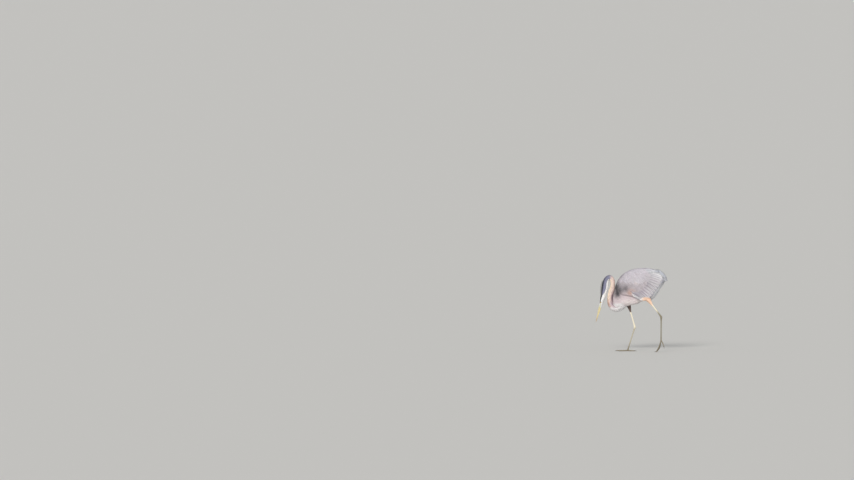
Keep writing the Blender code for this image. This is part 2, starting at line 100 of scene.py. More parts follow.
# Neck and head as one line, from inside the breast to the bill: x, z, half width, half depth.
# Stations 0 to 5 are the low fold, 5 to 10.5 rise, 10.5 to 18 hang and 18 to 24 are the head.
NECK = (
    (-5.0, 42.0, 3.6, 3.4),
    (-9.5, 38.8, 3.7, 3.9),
    (-13.4, 37.0, 3.6, 4.0),
    (-16.7, 37.9, 3.3, 3.7),
    (-18.8, 40.6, 2.9, 3.0),
    (-19.4, 44.0, 2.5, 2.6),
    (-19.1, 47.2, 2.3, 2.6),
    (-18.3, 50.2, 2.2, 2.6),
    (-17.4, 53.2, 2.1, 2.4),
    (-17.0, 56.2, 2.0, 2.1),
    (-17.3, 59.0, 2.0, 2.1),
    (-18.5, 61.2, 2.0, 2.2),
    (-20.4, 61.9, 2.0, 2.2),
    (-22.2, 60.4, 2.05, 2.5),
    (-23.3, 57.6, 2.1, 2.9),
    (-23.8, 54.4, 2.15, 3.1),
    (-24.4, 51.2, 2.1, 2.85),
    (-25.0, 48.4, 2.0, 2.35),
    (-25.5, 46.4, 1.95, 2.1),
    (-26.05, 44.6, 1.95, 1.95),
    (-26.55, 42.8, 1.86, 1.76),
    (-27.0, 41.0, 1.6, 1.6),
    (-27.45, 39.4, 1.3, 1.44),
    (-27.9, 38.0, 1.06, 1.28),
    (-28.3, 36.6, 0.92, 1.16),
)
NECK_END = 24.0
# Depth of the coat over the neck's skin: station, millimetres
NECK_COAT = (
    (0, 6.0), (5, 5.0), (10, 4.0), (14, 3.6), (18, 2.4),
    (20, 1.5), (22, 0.8), (23, 0.3), (24, -0.3),
)

# Folded wing, upright sections: x, lower edge y and z, upper edge y and z, how far the outer
# and the inner face stand out from the chord between the edges. The right wing is its mirror.
WING = (
    (-11.6, 5.7, 52.4, 4.4, 58.4, 1.1, -0.3),
    (-9.6, 6.4, 49.6, 4.0, 61.7, 2.0, -0.6),
    (-6.0, 7.4, 47.8, 3.4, 65.4, 2.7, -0.9),
    (-1.0, 7.9, 47.2, 2.9, 68.2, 3.1, -1.0),
    (4.5, 8.0, 46.2, 2.7, 69.7, 3.2, -0.9),
    (9.5, 7.5, 44.0, 2.6, 70.1, 3.3, -0.6),
    (14.0, 6.4, 43.3, 2.6, 69.6, 3.1, -0.2),
    (18.0, 5.0, 45.3, 2.6, 68.5, 2.8, 0.2),
    (21.6, 3.6, 49.6, 2.5, 67.2, 2.5, 0.4),
    (25.0, 2.7, 54.2, 2.4, 66.0, 1.8, 0.4),
    (27.6, 2.2, 57.8, 2.3, 63.8, 1.1, 0.3),
    (29.4, 2.0, 60.0, 2.2, 61.6, 0.5, 0.1),
)
WING_COAT = 0.42  # depth of the coat over the wing's skin

# Tail: x, z, half width, half thickness
TAIL = (
    (15.6, 66.9, 2.6, 1.1),
    (19.6, 67.7, 2.9, 1.2),
    (23.0, 67.9, 3.3, 1.15),
    (26.0, 66.6, 3.6, 0.95),
    (28.6, 64.2, 3.8, 0.7),
    (30.3, 61.7, 3.8, 0.45),
    (31.3, 59.7, 3.5, 0.2),
)
TAIL_ARCH = 1.1  # how far its sides droop below its middle

# Middle line of a long plume of the crown: x, y, z
PLUME = (
    (-28.0, 0.6, 43.2),
    (-27.75, 0.8, 46.4),
    (-27.65, 0.9, 50.4),
    (-27.4, 1.0, 54.4),
    (-26.9, 1.15, 57.8),
    (-25.7, 1.35, 60.9),
)

# Legs
TARSUS = 20.3
TARSUS_LEAN = math.radians(17.5)
ANKLE_RIGHT = (1.2, 4.1, 20.28)
LEGS = {
    "left": {
        "knee": (10.6, -5.0, 51.0),
        "ankle": (27.6, -5.1, 29.7),
        "joint": (27.6, -5.3, 29.7 - TARSUS),
        "feathered": 0.56,
    },
    "right": {
        "knee": (-6.7, 4.6, 46.2),
        "ankle": ANKLE_RIGHT,
        "joint": (
            ANKLE_RIGHT[0] - TARSUS * math.sin(TARSUS_LEAN),
            3.5,
            ANKLE_RIGHT[2] - TARSUS * math.cos(TARSUS_LEAN),
        ),
        "feathered": 0.49,
    },
}
# Half sizes of each length of a leg by the share along it
THIGH = (
    (0, 3.9), (0.1, 4.1), (0.22, 3.8), (0.36, 3.1), (0.52, 2.3),
    (0.68, 1.65), (0.83, 1.15), (0.94, 0.85), (1, 0.72),
)
THIGH_WIDE = 0.86  # its width as a share of its depth
SHANK = ((0, 0.62), (0.3, 0.58), (0.6, 0.56), (0.8, 0.62), (0.93, 0.84), (1, 0.86))
SHIN = (
    (0, 0.86), (0.035, 0.9), (0.09, 0.66), (0.2, 0.5),
    (0.5, 0.46), (0.8, 0.48), (0.93, 0.56), (1, 0.66),
)
HUB = ((0, 0.62), (0.25, 0.72), (0.6, 0.82), (1, 0.72), (1.3, 0.5))

# Toes of the flat foot: turn from straight ahead in degrees (positive outwards), length, claw
TOES = {
    "inner": (-36.0, 7.6, 1.4),
    "middle": (0.0, 9.9, 1.6),
    "outer": (34.0, 8.8, 1.4),
    "hind": (168.0, 5.4, 2.0),
}
TOE_HALF_THICK = (0.46, 0.33)
# The raised foot: how far each length of a toe tips below the horizontal, and its length
RAISED = {
    "inner": ((66.0, 2.7), (62.0, 2.6), (52.0, 2.3)),
    "middle": ((77.0, 3.9), (69.0, 3.2), (50.0, 2.8), (8.0, 0.9)),
    "outer": ((70.0, 3.0), (66.0, 2.9), (56.0, 2.6)),
    "hind": ((62.0, 2.6), (70.0, 2.6)),
}
RAISED_TURN = {"inner": -48.0, "middle": 0.0, "outer": 44.0, "hind": 170.0}
SOLE = 0.12  # whatever comes this near the floor lies flat on it

# Bill and eye
BILL_BASE = (-28.3, 36.6)
BILL_TIP = (-32.1, 24.0)
BILL_UPPER_SHARE = 0.54
EYE_AT = (-27.2, 1.06, 40.9)
EYE_RADIUS = 0.62
EYE_ROOM = 0.0067  # no head feather is rooted this near the eye's middle, in metres


# ---- numbers and curves


def linear(code):
    """The linear colour of an sRGB hex value: below 0.04045 divided by 12.92, else the 2.4 power."""
    value = np.array([int(code[i : i + 2], 16) for i in (1, 3, 5)]) / 255
    return np.where(value < 0.04045, value / 12.92, ((value + 0.055) / 1.055) ** 2.4)


def unit(v):
    """Vectors scaled to length one."""
    return v / np.maximum(np.linalg.norm(v, axis=-1, keepdims=True), 1e-12)


def smooth(x, a, b):
    """0 below a, 1 above b, and the cubic 3t2 - 2t3 between them."""
    t = np.clip((np.asarray(x, float) - a) / (b - a), 0, 1)
    return t * t * (3 - 2 * t)


def bell(x, middle, spread):
    """A bell curve, one at its middle: e to the minus square of the distance over the spread."""
    return np.exp(-(((x - middle) / spread) ** 2))


def mix(a, b, share):
    """Colours between a and b by share."""
    return a + (b - a) * np.asarray(share)[..., None]


def dot(a, b):
    """Scalar products of the rows of a and b."""
    return np.einsum("ij,ij->i", a, b)


def over(surface, u, v):
    """A function of a surface read over the grid of u, a column, and v, a row."""
    return surface(u + 0 * v, v + 0 * u)


def table(rows, at):
    """Straight-line reading of a table of pairs."""
    rows = np.asarray(rows, float)
    return np.interp(at, rows[:, 0], rows[:, 1])


def spline(rows, at):
    """Catmull-Rom curve through the rows at station numbers at, of any shape, held at its ends."""
    rows = np.asarray(rows, float)
    last = len(rows) - 1
    padded = np.vstack([2 * rows[0] - rows[1], rows, 2 * rows[-1] - rows[-2]])
    at = np.clip(np.asarray(at, float), 0, last)
    i = np.clip(np.floor(at).astype(int), 0, last - 1)
    t = (at - i)[..., None]
    a, b, c, d = (padded[i + k] for k in range(4))
    bend, twist = 2 * a - 5 * b + 4 * c - d, 3 * b - a - 3 * c + d
    return 0.5 * (2 * b + (c - a) * t + bend * t**2 + twist * t**3)


def metres(x, y, z):
    """Table coordinates in centimetres as points in metres, with the middle of the length at zero."""
    x, y, z = np.broadcast_arrays(x, y, z)
    return np.stack([(x - MIDDLE_X) * CM, y * CM, z * CM], -1)


def rounded(angle, power=2.0):
    """Across and deep shares of a superellipse: the cosine and sine to the power 2 over power."""
    c, s = np.cos(angle), np.sin(angle)
    return np.sign(c) * np.abs(c) ** (2 / power), np.sign(s) * np.abs(s) ** (2 / power)


def turns(count):
    """Even angles round a full turn."""
    return np.arange(count) * TURN / count


def between(start, end, share):
    """Points along the straight line from start to end."""
    return start + (end - start) * share[:, None]


def in_metres(points):
    """Whole points in table centimetres as points in metres."""
    return metres(*np.moveaxis(points, -1, 0))


# ---- the bird's surfaces


def trunk_surface(u, v):
    """Skin of the trunk: at station u an upright superellipse of power 2.15, v round it from the
    right side over the top, all 5 mm inside the outline that the feathers reach."""
    x, top, bottom, half = np.moveaxis(spline(TRUNK, u), -1, 0)
    across, deep = rounded(v, 2.15)
    inset = np.minimum(0.5, half * 0.3)
    tall = (top - bottom) / 2 - inset
    return metres(x, (half - inset) * across, (top + bottom) / 2 + tall * deep)


def side_ways(rows):
    """Stations along a table's curve, and the x and z of its direction there in the side view."""
    at = np.linspace(0, len(rows) - 1, 961)
    return at, *unit(np.gradient(spline(rows, at)[:, :2], axis=0)).T


def way_at(ways, u):
    """The x and z of a curve's direction at station u."""
    at, way_x, way_z = ways
    return np.interp(u, at, way_x), np.interp(u, at, way_z)


NECK_WAYS = side_ways(NECK)
TAIL_WAYS = side_ways(TAIL)


def neck_surface(u, v):
    """Skin of neck and head: an ellipse across the line at station u, v from the right side
    towards the throat, inside the coat's depth, with brow, socket, cheek and lore added to it."""
    x, z, width, depth = np.moveaxis(spline(NECK, u), -1, 0)
    way_x, way_z = way_at(NECK_WAYS, u)
    coat = table(NECK_COAT, u) * 0.1
    c, s = np.cos(v), np.sin(v)
    brow = 0.1 * bell(u, 20.9, 0.9) * bell(s, -0.55, 0.24)
    socket = -0.15 * bell(u, 21.0, 0.7) * bell(s, -0.1, 0.34)
    cheek = 0.07 * bell(u, 20.0, 1.0) * bell(s, 0.4, 0.35)
    lore = -0.08 * smooth(u, 21.8, 22.6) * smooth(24 - u, 0, 0.5) * bell(s, -0.1, 0.3)
    relief = (brow + socket + cheek + lore) * np.abs(c) ** 2
    deep = (depth - coat + relief) * s
    # The third direction is the way turned a quarter: it points to the throat.
    return metres(x - way_z * deep, (width - coat + relief) * c, z + way_x * deep)


def wing_surface(u, c):
    """Skin of the left wing's outer face: c runs from the lower edge to the upper one, and the
    face stands out from that chord by the bulge times the sine of the matching angle to the
    power 0.9, less the coat. Past an edge it runs on along the chord."""
    x, low_y, low_z, top_y, top_z, outer, _ = np.moveaxis(spline(WING, u), -1, 0)
    y = -(low_y + (top_y - low_y) * c)
    z = low_z + (top_z - low_z) * c
    out_y, out_z = -(top_z - low_z), (low_y - top_y)
    size = np.hypot(out_y, out_z)
    rise = np.sqrt(np.clip(1 - (2 * np.clip(c, 0, 1) - 1) ** 2, 0, 1))
    stand = outer * rise**0.9 + 0.12 * rise - WING_COAT * np.minimum(1, 2.5 * rise)
    return metres(x, y + out_y / size * stand, z + out_z / size * stand)


def tail_surface(u, v):
    """Upper face of the tail core: across the plate by v from -1 to 1, drooping with its square."""
    x, z, width, thick = np.moveaxis(spline(TAIL, u), -1, 0)
    way_x, way_z = way_at(TAIL_WAYS, u)
    droop = TAIL_ARCH * v**2 * (np.asarray(u) / (len(TAIL) - 1))
    lift = thick * np.sqrt(np.clip(1 - v**2, 0, 1)) ** 0.83 - 0.25
    return metres(x - droop * 0.5 - way_z * lift, v * width, z - droop * 0.6 + way_x * lift)


def leg_frame(start, end):
    """Way, sideways and forward directions of a straight length of leg."""
    way = unit(np.subtract(end, start))
    side = unit(ACROSS - way * way[1])
    return way, side, np.cross(way, side)


def leg_points(side_name):
    """Knee, ankle and toe joint of a leg."""
    return (np.array(LEGS[side_name][name]) for name in ("knee", "ankle", "joint"))


def upper_leg(side_name, share):
    """Middle line from knee to ankle; its hidden top bends in under wing or flank."""
    knee, ankle, _ = leg_points(side_name)
    line = knee + (ankle - knee) * np.asarray(share)[..., None]
    line[..., 1] -= np.sign(knee[1]) * 1.3 * smooth(0.45 - np.asarray(share), 0.05, 0.35)
    return line


def thigh_half(share):
    """Half depth of the thigh's skin: the table less its coat, which thins from 3.5 to 1 mm."""
    return table(THIGH, share) - (0.35 - 0.25 * np.clip(share, 0, 1))


def thigh_surface_of(side_name):
    """The surface function of one feathered thigh: an ellipse round the line from knee to ankle."""
    leg = LEGS[side_name]
    _, side, front = leg_frame(leg["knee"], leg["ankle"])

    def surface(u, v):
        half = thigh_half(u)
        centre = upper_leg(side_name, np.clip(u, 0, None) * leg["feathered"])
        across = side * (THIGH_WIDE * half * np.cos(v))[..., None]
        deep = front * (half * np.sin(v))[..., None]
        return in_metres(centre + across + deep)

    return surface


def touch(surface, span, sense, u, v):
    """Point, both tangents and the outward normal of a surface; past span it runs on straight."""
    step = 1e-3
    inside = np.clip(u, *span)
    high, low = np.minimum(inside + step, span[1]), np.maximum(inside - step, span[0])
    along = (surface(high, v) - surface(low, v)) / (high - low)[..., None]
    around = (surface(inside, v + step) - surface(inside, v - step)) / (2 * step)
    point = surface(inside, v) + along * (u - inside)[..., None]
    return point, along, around, unit(np.cross(around, along)) * sense


# Surfaces as touch() takes them: the function, the span of its stations, the sense of its normal
NECK_FACE = (neck_surface, (0, NECK_END), 1)
TRUNK_FACE = (trunk_surface, (0, len(TRUNK) - 1), 1)
TAIL_FACE = (tail_surface, (0, len(TAIL) - 1), -1)


# ---- meshes from arrays


def halved(a, b, c, d):
    """The two triangles of each four-sided face with these corners."""
    pair = [np.stack(corners, -1).reshape(-1, 3) for corners in ((a, b, c), (a, c, d))]
    return np.concatenate(pair)


def tube_faces(count, around):
    """Triangles of a closed tube of rings, with a fan at each end to two last points."""
    ring = np.arange(count - 1)[:, None] * around
    j = np.arange(around)
    k = (j + 1) % around
    walls = halved(ring + j, ring + k, ring + around + k, ring + around + j)
    first, last = count * around, count * around + 1
    start = np.stack([np.full(around, first), k, j], -1)
    end = np.stack([np.full(around, last), first - around + j, first - around + k], -1)
    return np.concatenate([walls, start, end])


def outward(points, faces):
    """The faces turned so that the volume they enclose is positive."""
    a, b, c = (points[faces[:, i]] for i in range(3))
    return faces if dot(a, np.cross(b, c)).sum() > 0 else faces[:, ::-1]


def tube(rings):
    """Points and outward triangles of a closed tube; each end point is the middle of its ring."""
    points = np.vstack([rings.reshape(-1, 3), rings[0].mean(0), rings[-1].mean(0)])
    return points, outward(points, tube_faces(*rings.shape[:2]))


def tube_colours(colours):
    """Colours of a tube's points from those of its rings; each end point takes its ring's first."""
    flat = colours.reshape(-1, 3)
    return np.vstack([flat, flat[:1], flat[-1:]])


def joined(shapes):
    """Several (points, faces) as one."""
    points, faces = zip(*shapes)
    starts = np.cumsum([0, *map(len, points)])
    return np.vstack(points), np.vstack([f + start for f, start in zip(faces, starts)])


def column(data, name, width=3, kind=np.float32):
    """One value of every item of a mesh's data, as rows of the given width."""
    values = np.empty(len(data) * width, kind)
    data.foreach_get(name, values)
    return values.reshape(-1, width)


def new_object(name, points, faces, material, uvs=None, colours=None, rim=None):
    """An object at the origin from whole arrays: its markings are a colour for each point, and rim
    marks points whose common edges stay sharp."""
    mesh = bpy.data.meshes.new(name)
    mesh.vertices.add(len(points))
    mesh.vertices.foreach_set("co", np.ascontiguousarray(points, np.float32).ravel())
    loops = np.ascontiguousarray(faces, np.int32).ravel()
    mesh.loops.add(len(loops))
    mesh.loops.foreach_set("vertex_index", loops)
    mesh.polygons.add(len(faces))
    mesh.polygons.foreach_set("loop_start", np.arange(0, len(loops), 3, dtype=np.int32))
    mesh.update(calc_edges=True)
    mesh.polygons.foreach_set("use_smooth", np.ones(len(faces), bool))
    for label, values in (uvs or {}).items():
        layer = mesh.uv_layers.new(name=label)
        layer.data.foreach_set("uv", np.ascontiguousarray(values[loops], np.float32).ravel())
    if colours is not None:
        rgba = np.ones((len(colours), 4), np.float32)
        rgba[:, :3] = colours
        layer = mesh.color_attributes.new("Markings", "FLOAT_COLOR", "POINT")
        layer.data.foreach_set("color", rgba.ravel())
    if rim is not None:
        ends = column(mesh.edges, "vertices", 2, np.int32)
        sharp = mesh.attributes.new("sharp_edge", "BOOLEAN", "EDGE")
        sharp.data.foreach_set("value", rim[ends].all(1))
    mesh.materials.append(material)
    mesh.validate()
    made = bpy.data.objects.new(name, mesh)
    bpy.context.scene.collection.objects.link(made)
    return made


def settle(made, slot, *nodes):
    """The piece rides on the bird and stands for the given solids, which are hidden; the slot is not
    used.
    """
    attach(made, "root")
    if nodes:
        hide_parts(*nodes)


# ---- markings


def palette():
    """The plumage colours of the panel by name, as arrays."""
    group = bpy.context.scene.heron_colours
    names = HeronColours.__annotations__
    return SimpleNamespace(**{name: np.array(getattr(group, name)) for name in names})


def painted(colour, *layers):
    """A colour with others laid over it in turn, each by its share."""
    for paint, share in layers:
        colour = mix(colour, paint, share)
    return colour


def neck_markings(u, v):
    """Colours of neck and head by station and by s, the sine of v, which is 1 at the throat:
    white head and throat stripe, black stripe from the eye to the nape, blue-grey hanging length
    whose grey is deepened by painted shade on its outer side and back, pink-beige rising length
    with a cream front and painted mauve shade on its rear, mauve low fold with a white underside."""
    c = palette()
    s = np.sin(v)
    fold = mix(c.neck_mauve, c.chest, smooth(s, -0.7, 0.2))
    # Painted shade: the rear of the rising length is darkened with mauve, most at its low end, where the
    # body would shadow it
    back = np.interp(u, [6.6, 8.2], [1.0, 0.12]) * smooth(-s, 0.25, 0.85)
    rising = painted(c.neck_pink, (c.neck_cream, smooth(s, -0.1, 0.6)), (c.neck_mauve, back))
    # Painted shade in part: the hanging length's grey is painted blue-grey as the shade on its outer
    # side, and darker towards its back, where the nape's dark plumes are deepened by painted shade
    hanging = mix(c.neck_blue_shade, c.nape, smooth(u, 11.5, 15.0) * smooth(-s, 0.0, 0.7))
    border = np.interp(u, [10.5, 12.5, 14.5, 16.5, 18.0, 19.0], [0.85, 0.62, 0.5, 0.5, -0.05, -0.85])
    streak = bell(s, border - 0.02, 0.09) * smooth(u, 12.0, 13.5) * smooth(18.4 - u, 0, 1)
    at = [17.0, 18.5, 20.0, 21.3, 22.0]
    low = np.interp(u, at, [-1.2, -1.2, -0.98, -0.76, -0.58])
    high = np.interp(u, at, [-0.45, -0.15, -0.22, -0.38, -0.44])
    stripe = smooth(s, low - 0.06, low + 0.06) * smooth(high + 0.06 - s, 0, 0.12)
    stripe *= smooth(u, 17.4, 18.2) * smooth(22.1 - u, 0, 0.35)
    line = bell(s, gape_line(u), 0.035) * smooth(u, 22.1, 22.4) * (np.abs(np.cos(v)) > 0.3)
    return painted(
        fold,
        (rising, smooth(u, 3.8, 5.6)),
        (hanging, smooth(u, 10.9, 12.2) * smooth(0.9 - s, 0, 0.2)),
        (c.white, smooth(s, 0.0, 0.6) * smooth(3.7 - u, 0.0, 0.7)),
        (c.rufous, 0.85 * (smooth(s, -0.2, 0.5) * bell(u, 4.4, 0.9))),
        (c.white, smooth(s, border - 0.14, border + 0.14) * smooth(u, 10.6, 12.0)),
        (c.black, 0.3 * streak),
        (c.white, smooth(u, 18.2, 19.0)),
        (c.black, stripe),
        (c.lore, lore_mask(u, v)),
        (c.claw, 0.55 * line),
    )


def gape_line(u):
    """Where the gape runs on the face: the sine of v at station u."""
    return np.interp(u, [22.2, 23.2, 24.0], [0.45, 0.3, 0.1])


def lore_mask(u, v):
    """One on the bare skin between eye and bill, on both sides of the face."""
    reach = np.interp(u, [21.5, 22.5, 24], [0.3, 0.36, 0.62])
    return smooth(u, 21.5, 21.8) * smooth(reach - np.abs(np.sin(v) + 0.1), 0, 0.08)


def body_markings(points):
    """Colours of trunk and wing by place: grey back, pink-lavender chest, streaked pale belly,
    dark shoulder (the black epaulette, deepened by painted shade between neck and wing), rufous
    wing bend and a paler blotch on the coverts."""
    c = palette()
    x = points[..., 0] / CM + MIDDLE_X
    y = np.abs(points[..., 1]) / CM
    z = points[..., 2] / CM
    ripple = 0.5 * np.sin(1.9 * x + 1.1 * z) + 0.5 * np.sin(1.3 * z - 2.3 * x + 1.0)
    keel = smooth(42.5 - z, 0, 2.5) * smooth(-3.0 - x, 0, 3.0)
    # The black epaulette lies on the breast's side before the wing, with a looser patch behind it and a
    # band
    #  between them; all are painted darker in part as the shade that neck and wing cast on the breast.
    epaulette_and_shade = bell(x, -12.4, 2.9) * smooth(z, 43.5, 49.0) * smooth(60.0 - z, 0, 5.0)
    patch = bell(x + 0.2 * ripple, -4.4, 3.0) * bell(z + 0.6 * ripple, 53.8, 2.5)
    gap = bell(x, -9.2, 3.2) * bell(z + 0.4 * ripple, 52.2, 3.5)
    rufous = bell(x, 1.0, 3.0) * bell(z + 0.3 * ripple, 50.8, 2.6) * smooth(y, 4, 6)
    pale = bell(x, 5.2, 2.6) * bell(z + 0.3 * ripple, 59.3, 1.5)
    edge = bell(z, 47.7 - 0.5 * (x - 3.4), 0.8) * smooth(x, 2.0, 4.0)
    edge = edge * smooth(11.6 - x, 0, 2.0) * smooth(y, 4.5, 6)
    return painted(
        c.body_grey,
        (c.back_grey, smooth(z, 58, 68)),
        (c.tail_grey, 0.8 * smooth(x, 14, 24)),
        (c.chest, smooth(52.5 - z - 0.25 * (x + 2), 0, 5.0) * smooth(12 - x, 0, 6)),
        (c.white, 0.8 * keel),
        (c.belly, smooth(47.0 - z, 0, 5.0) * smooth(x, -11, -6)),
        (c.shoulder, np.maximum(np.maximum(epaulette_and_shade, 0.72 * patch), 0.85 * gap)),
        (c.rufous, 0.8 * rufous),
        (c.blotch, 0.75 * pale),
        (c.white, 0.9 * edge),
    )


def leg_markings(u, side_name):
    """Thigh feathers from the flank's colour through rufous to cream by the bare shank; the right
    thigh is painted dark all along, its rufous darkened as painted shade on the far side."""
    c = palette()
    # Painted shade: the right thigh takes one dark shade colour from top to bottom
    top, low = (c.thigh, c.shank) if side_name == "left" else (c.thigh_painted_shade, c.thigh_painted_shade)
    return mix(mix(c.chest, top, smooth(u, 0.12, 0.42)), low, smooth(u, 0.72, 1.1))


def shin_colour(side_name, share):
    """Bare leg from knee (-1) over ankle (0) to foot (1): cream above, grey from the ankle down."""
    c = palette()
    turn, pale = (-0.28, 0.0) if side_name == "left" else (-0.06, 0.4)
    colour = mix(c.shank, mix(c.leg, c.shank, pale), smooth(share, turn, turn + 0.18))
    return mix(colour, c.foot, smooth(share, 0.5, 1.0))


# ---- vanes


def scatter(surface, u_span, v_span, pitch, rng):
    """Root places in staggered rows: rows stand apart by the first pitch at their station, and
    roots along each row by the second, measured on the surface."""
    u_line = np.linspace(*u_span, 160)
    v_line = np.linspace(*v_span, 121)
    grid = over(surface, u_line[:, None], v_line)
    run = np.linalg.norm(np.diff(grid, axis=0), axis=-1).mean(1)
    along, across = pitch(u_line)
    steps = np.concatenate([[0], np.cumsum(run / along[1:])])
    rows = np.interp(np.arange(0.3, steps[-1]), steps, u_line)
    gaps = np.interp(rows, u_line, across)
    u, v = [], []
    for k, row in enumerate(rows):
        ring = surface(np.full(v_line.shape, row), v_line)
        arc = np.concatenate([[0], np.cumsum(np.linalg.norm(np.diff(ring, axis=0), axis=-1))])
        count = max(2, int(arc[-1] / gaps[k]))
        at = (np.arange(count) + 0.5 * (k % 2) + rng.uniform(-0.28, 0.28, count)) / count
        v.append(np.interp(at % 1.0 * arc[-1], arc, v_line))
        u.append(row + rng.uniform(-0.3, 0.3, count) * (rows[1] - rows[0]))
    return np.clip(np.concatenate(u), *sorted(u_span)), np.concatenate(v)


STEPS = np.array([0.0, 0.22, 0.5, 0.78, 0.93, 1.0])
STRAND_STEPS = np.array([0.0, 0.3, 0.75, 1.0])
PATCH = 0.003  # side of each vane's own place in the OFBake map
SEAT = 0.003  # a root this near the skin is set onto it, in metres
BURIED = 0.0025  # a root this deep under the skin bears no vane


def outline(t, swell, point):
    """Half width of a vane along its length: t to the power swell times 1 - t to the power point,
    scaled to one at its widest."""
    fine = np.linspace(0, 1, 200)
    most = (fine**swell * (1 - fine) ** point).max()
    return t**swell * (1 - t) ** point / most


def vane_points(centre, normal, half, camber, thick, roll=0.0):
    """Closed thin vanes: each ring of four points is left edge, crest, right edge and keel across
    the middle line; the edges lie lower than the crest by camber times the half width, and root
    and tip are single points. Shape: vane, point, xyz."""
    way = unit(np.gradient(centre, axis=1))
    side = unit(np.cross(way, normal))
    up = np.cross(side, way)
    turn = np.broadcast_to(np.asarray(roll), centre.shape[:1])[:, None, None]
    side, up = side * np.cos(turn) + up * np.sin(turn), up * np.cos(turn) - side * np.sin(turn)
    edge = up * (camber * half[..., None])
    wide, body = side * half[..., None], up * thick[..., None] / 2
    corners = [centre - wide - edge, centre + body, centre + wide - edge, centre - body]
    rings = np.stack(corners, 2)[:, 1:-1].reshape(len(centre), -1, 3)
    return np.concatenate([rings, centre[:, :1], centre[:, -1:]], 1)


def vane_places(steps):
    """For each point of a vane: across from 0 to 1 and along from 0 to 1."""
    t = np.asarray(steps)
    across = np.tile([0.0, 0.5, 1.0, 0.5], len(t) - 2)
    along = np.repeat(t[1:-1], 4)
    return np.append(across, [0.5, 0.5]), np.append(along, [0.0, 1.0])


def vane_colours(base, steps, rng, fringe, shade, shaft=0.0):
    """Each vane's own colour, varied a little, darker by shade at the root, paler by fringe along
    its edge and tip, and darker by shaft along the crest."""
    across, along = vane_places(steps)
    edge = np.abs(across - 0.5) * 2
    own = base * (1 + rng.normal(0, 0.055, (len(base), 1))) * (1 + rng.normal(0, 0.012, base.shape))
    depth = 1 - shade * (1 - smooth(along, 0.0, 0.75))
    lift = np.maximum(edge * smooth(along, 0.2, 0.8), smooth(along, 0.75, 1.0))
    colour = own[:, None] * depth[None, :, None]
    colour = colour * (1 - shaft * (1 - edge) * smooth(along, 0.1, 0.5))[None, :, None]
    return np.clip(mix(colour, 0.25 * colour + 0.75, (fringe * lift)[None]), 0.0, 1.0)


def within(share):
    """Shares from 0 to 1 drawn in a little from the borders of the OFBake map."""
    return 0.02 + 0.96 * share


def nearest(tree, points):
    """The nearest place of the skin to each point, and its normal."""
    found = [tree.find_nearest(Vector(p)) for p in points]
    return np.array([f[0] for f in found]), np.array([f[1] for f in found])


def seat_on_skin(tree, points):
    """For each root: whether it lies on the outer skin, and the small move that sets it there."""
    place, normal = nearest(tree, points)
    over_skin = dot(points - place, normal)
    move = np.where((np.abs(over_skin) < SEAT)[:, None], place - points, 0.0)
    return over_skin > -BURIED, move


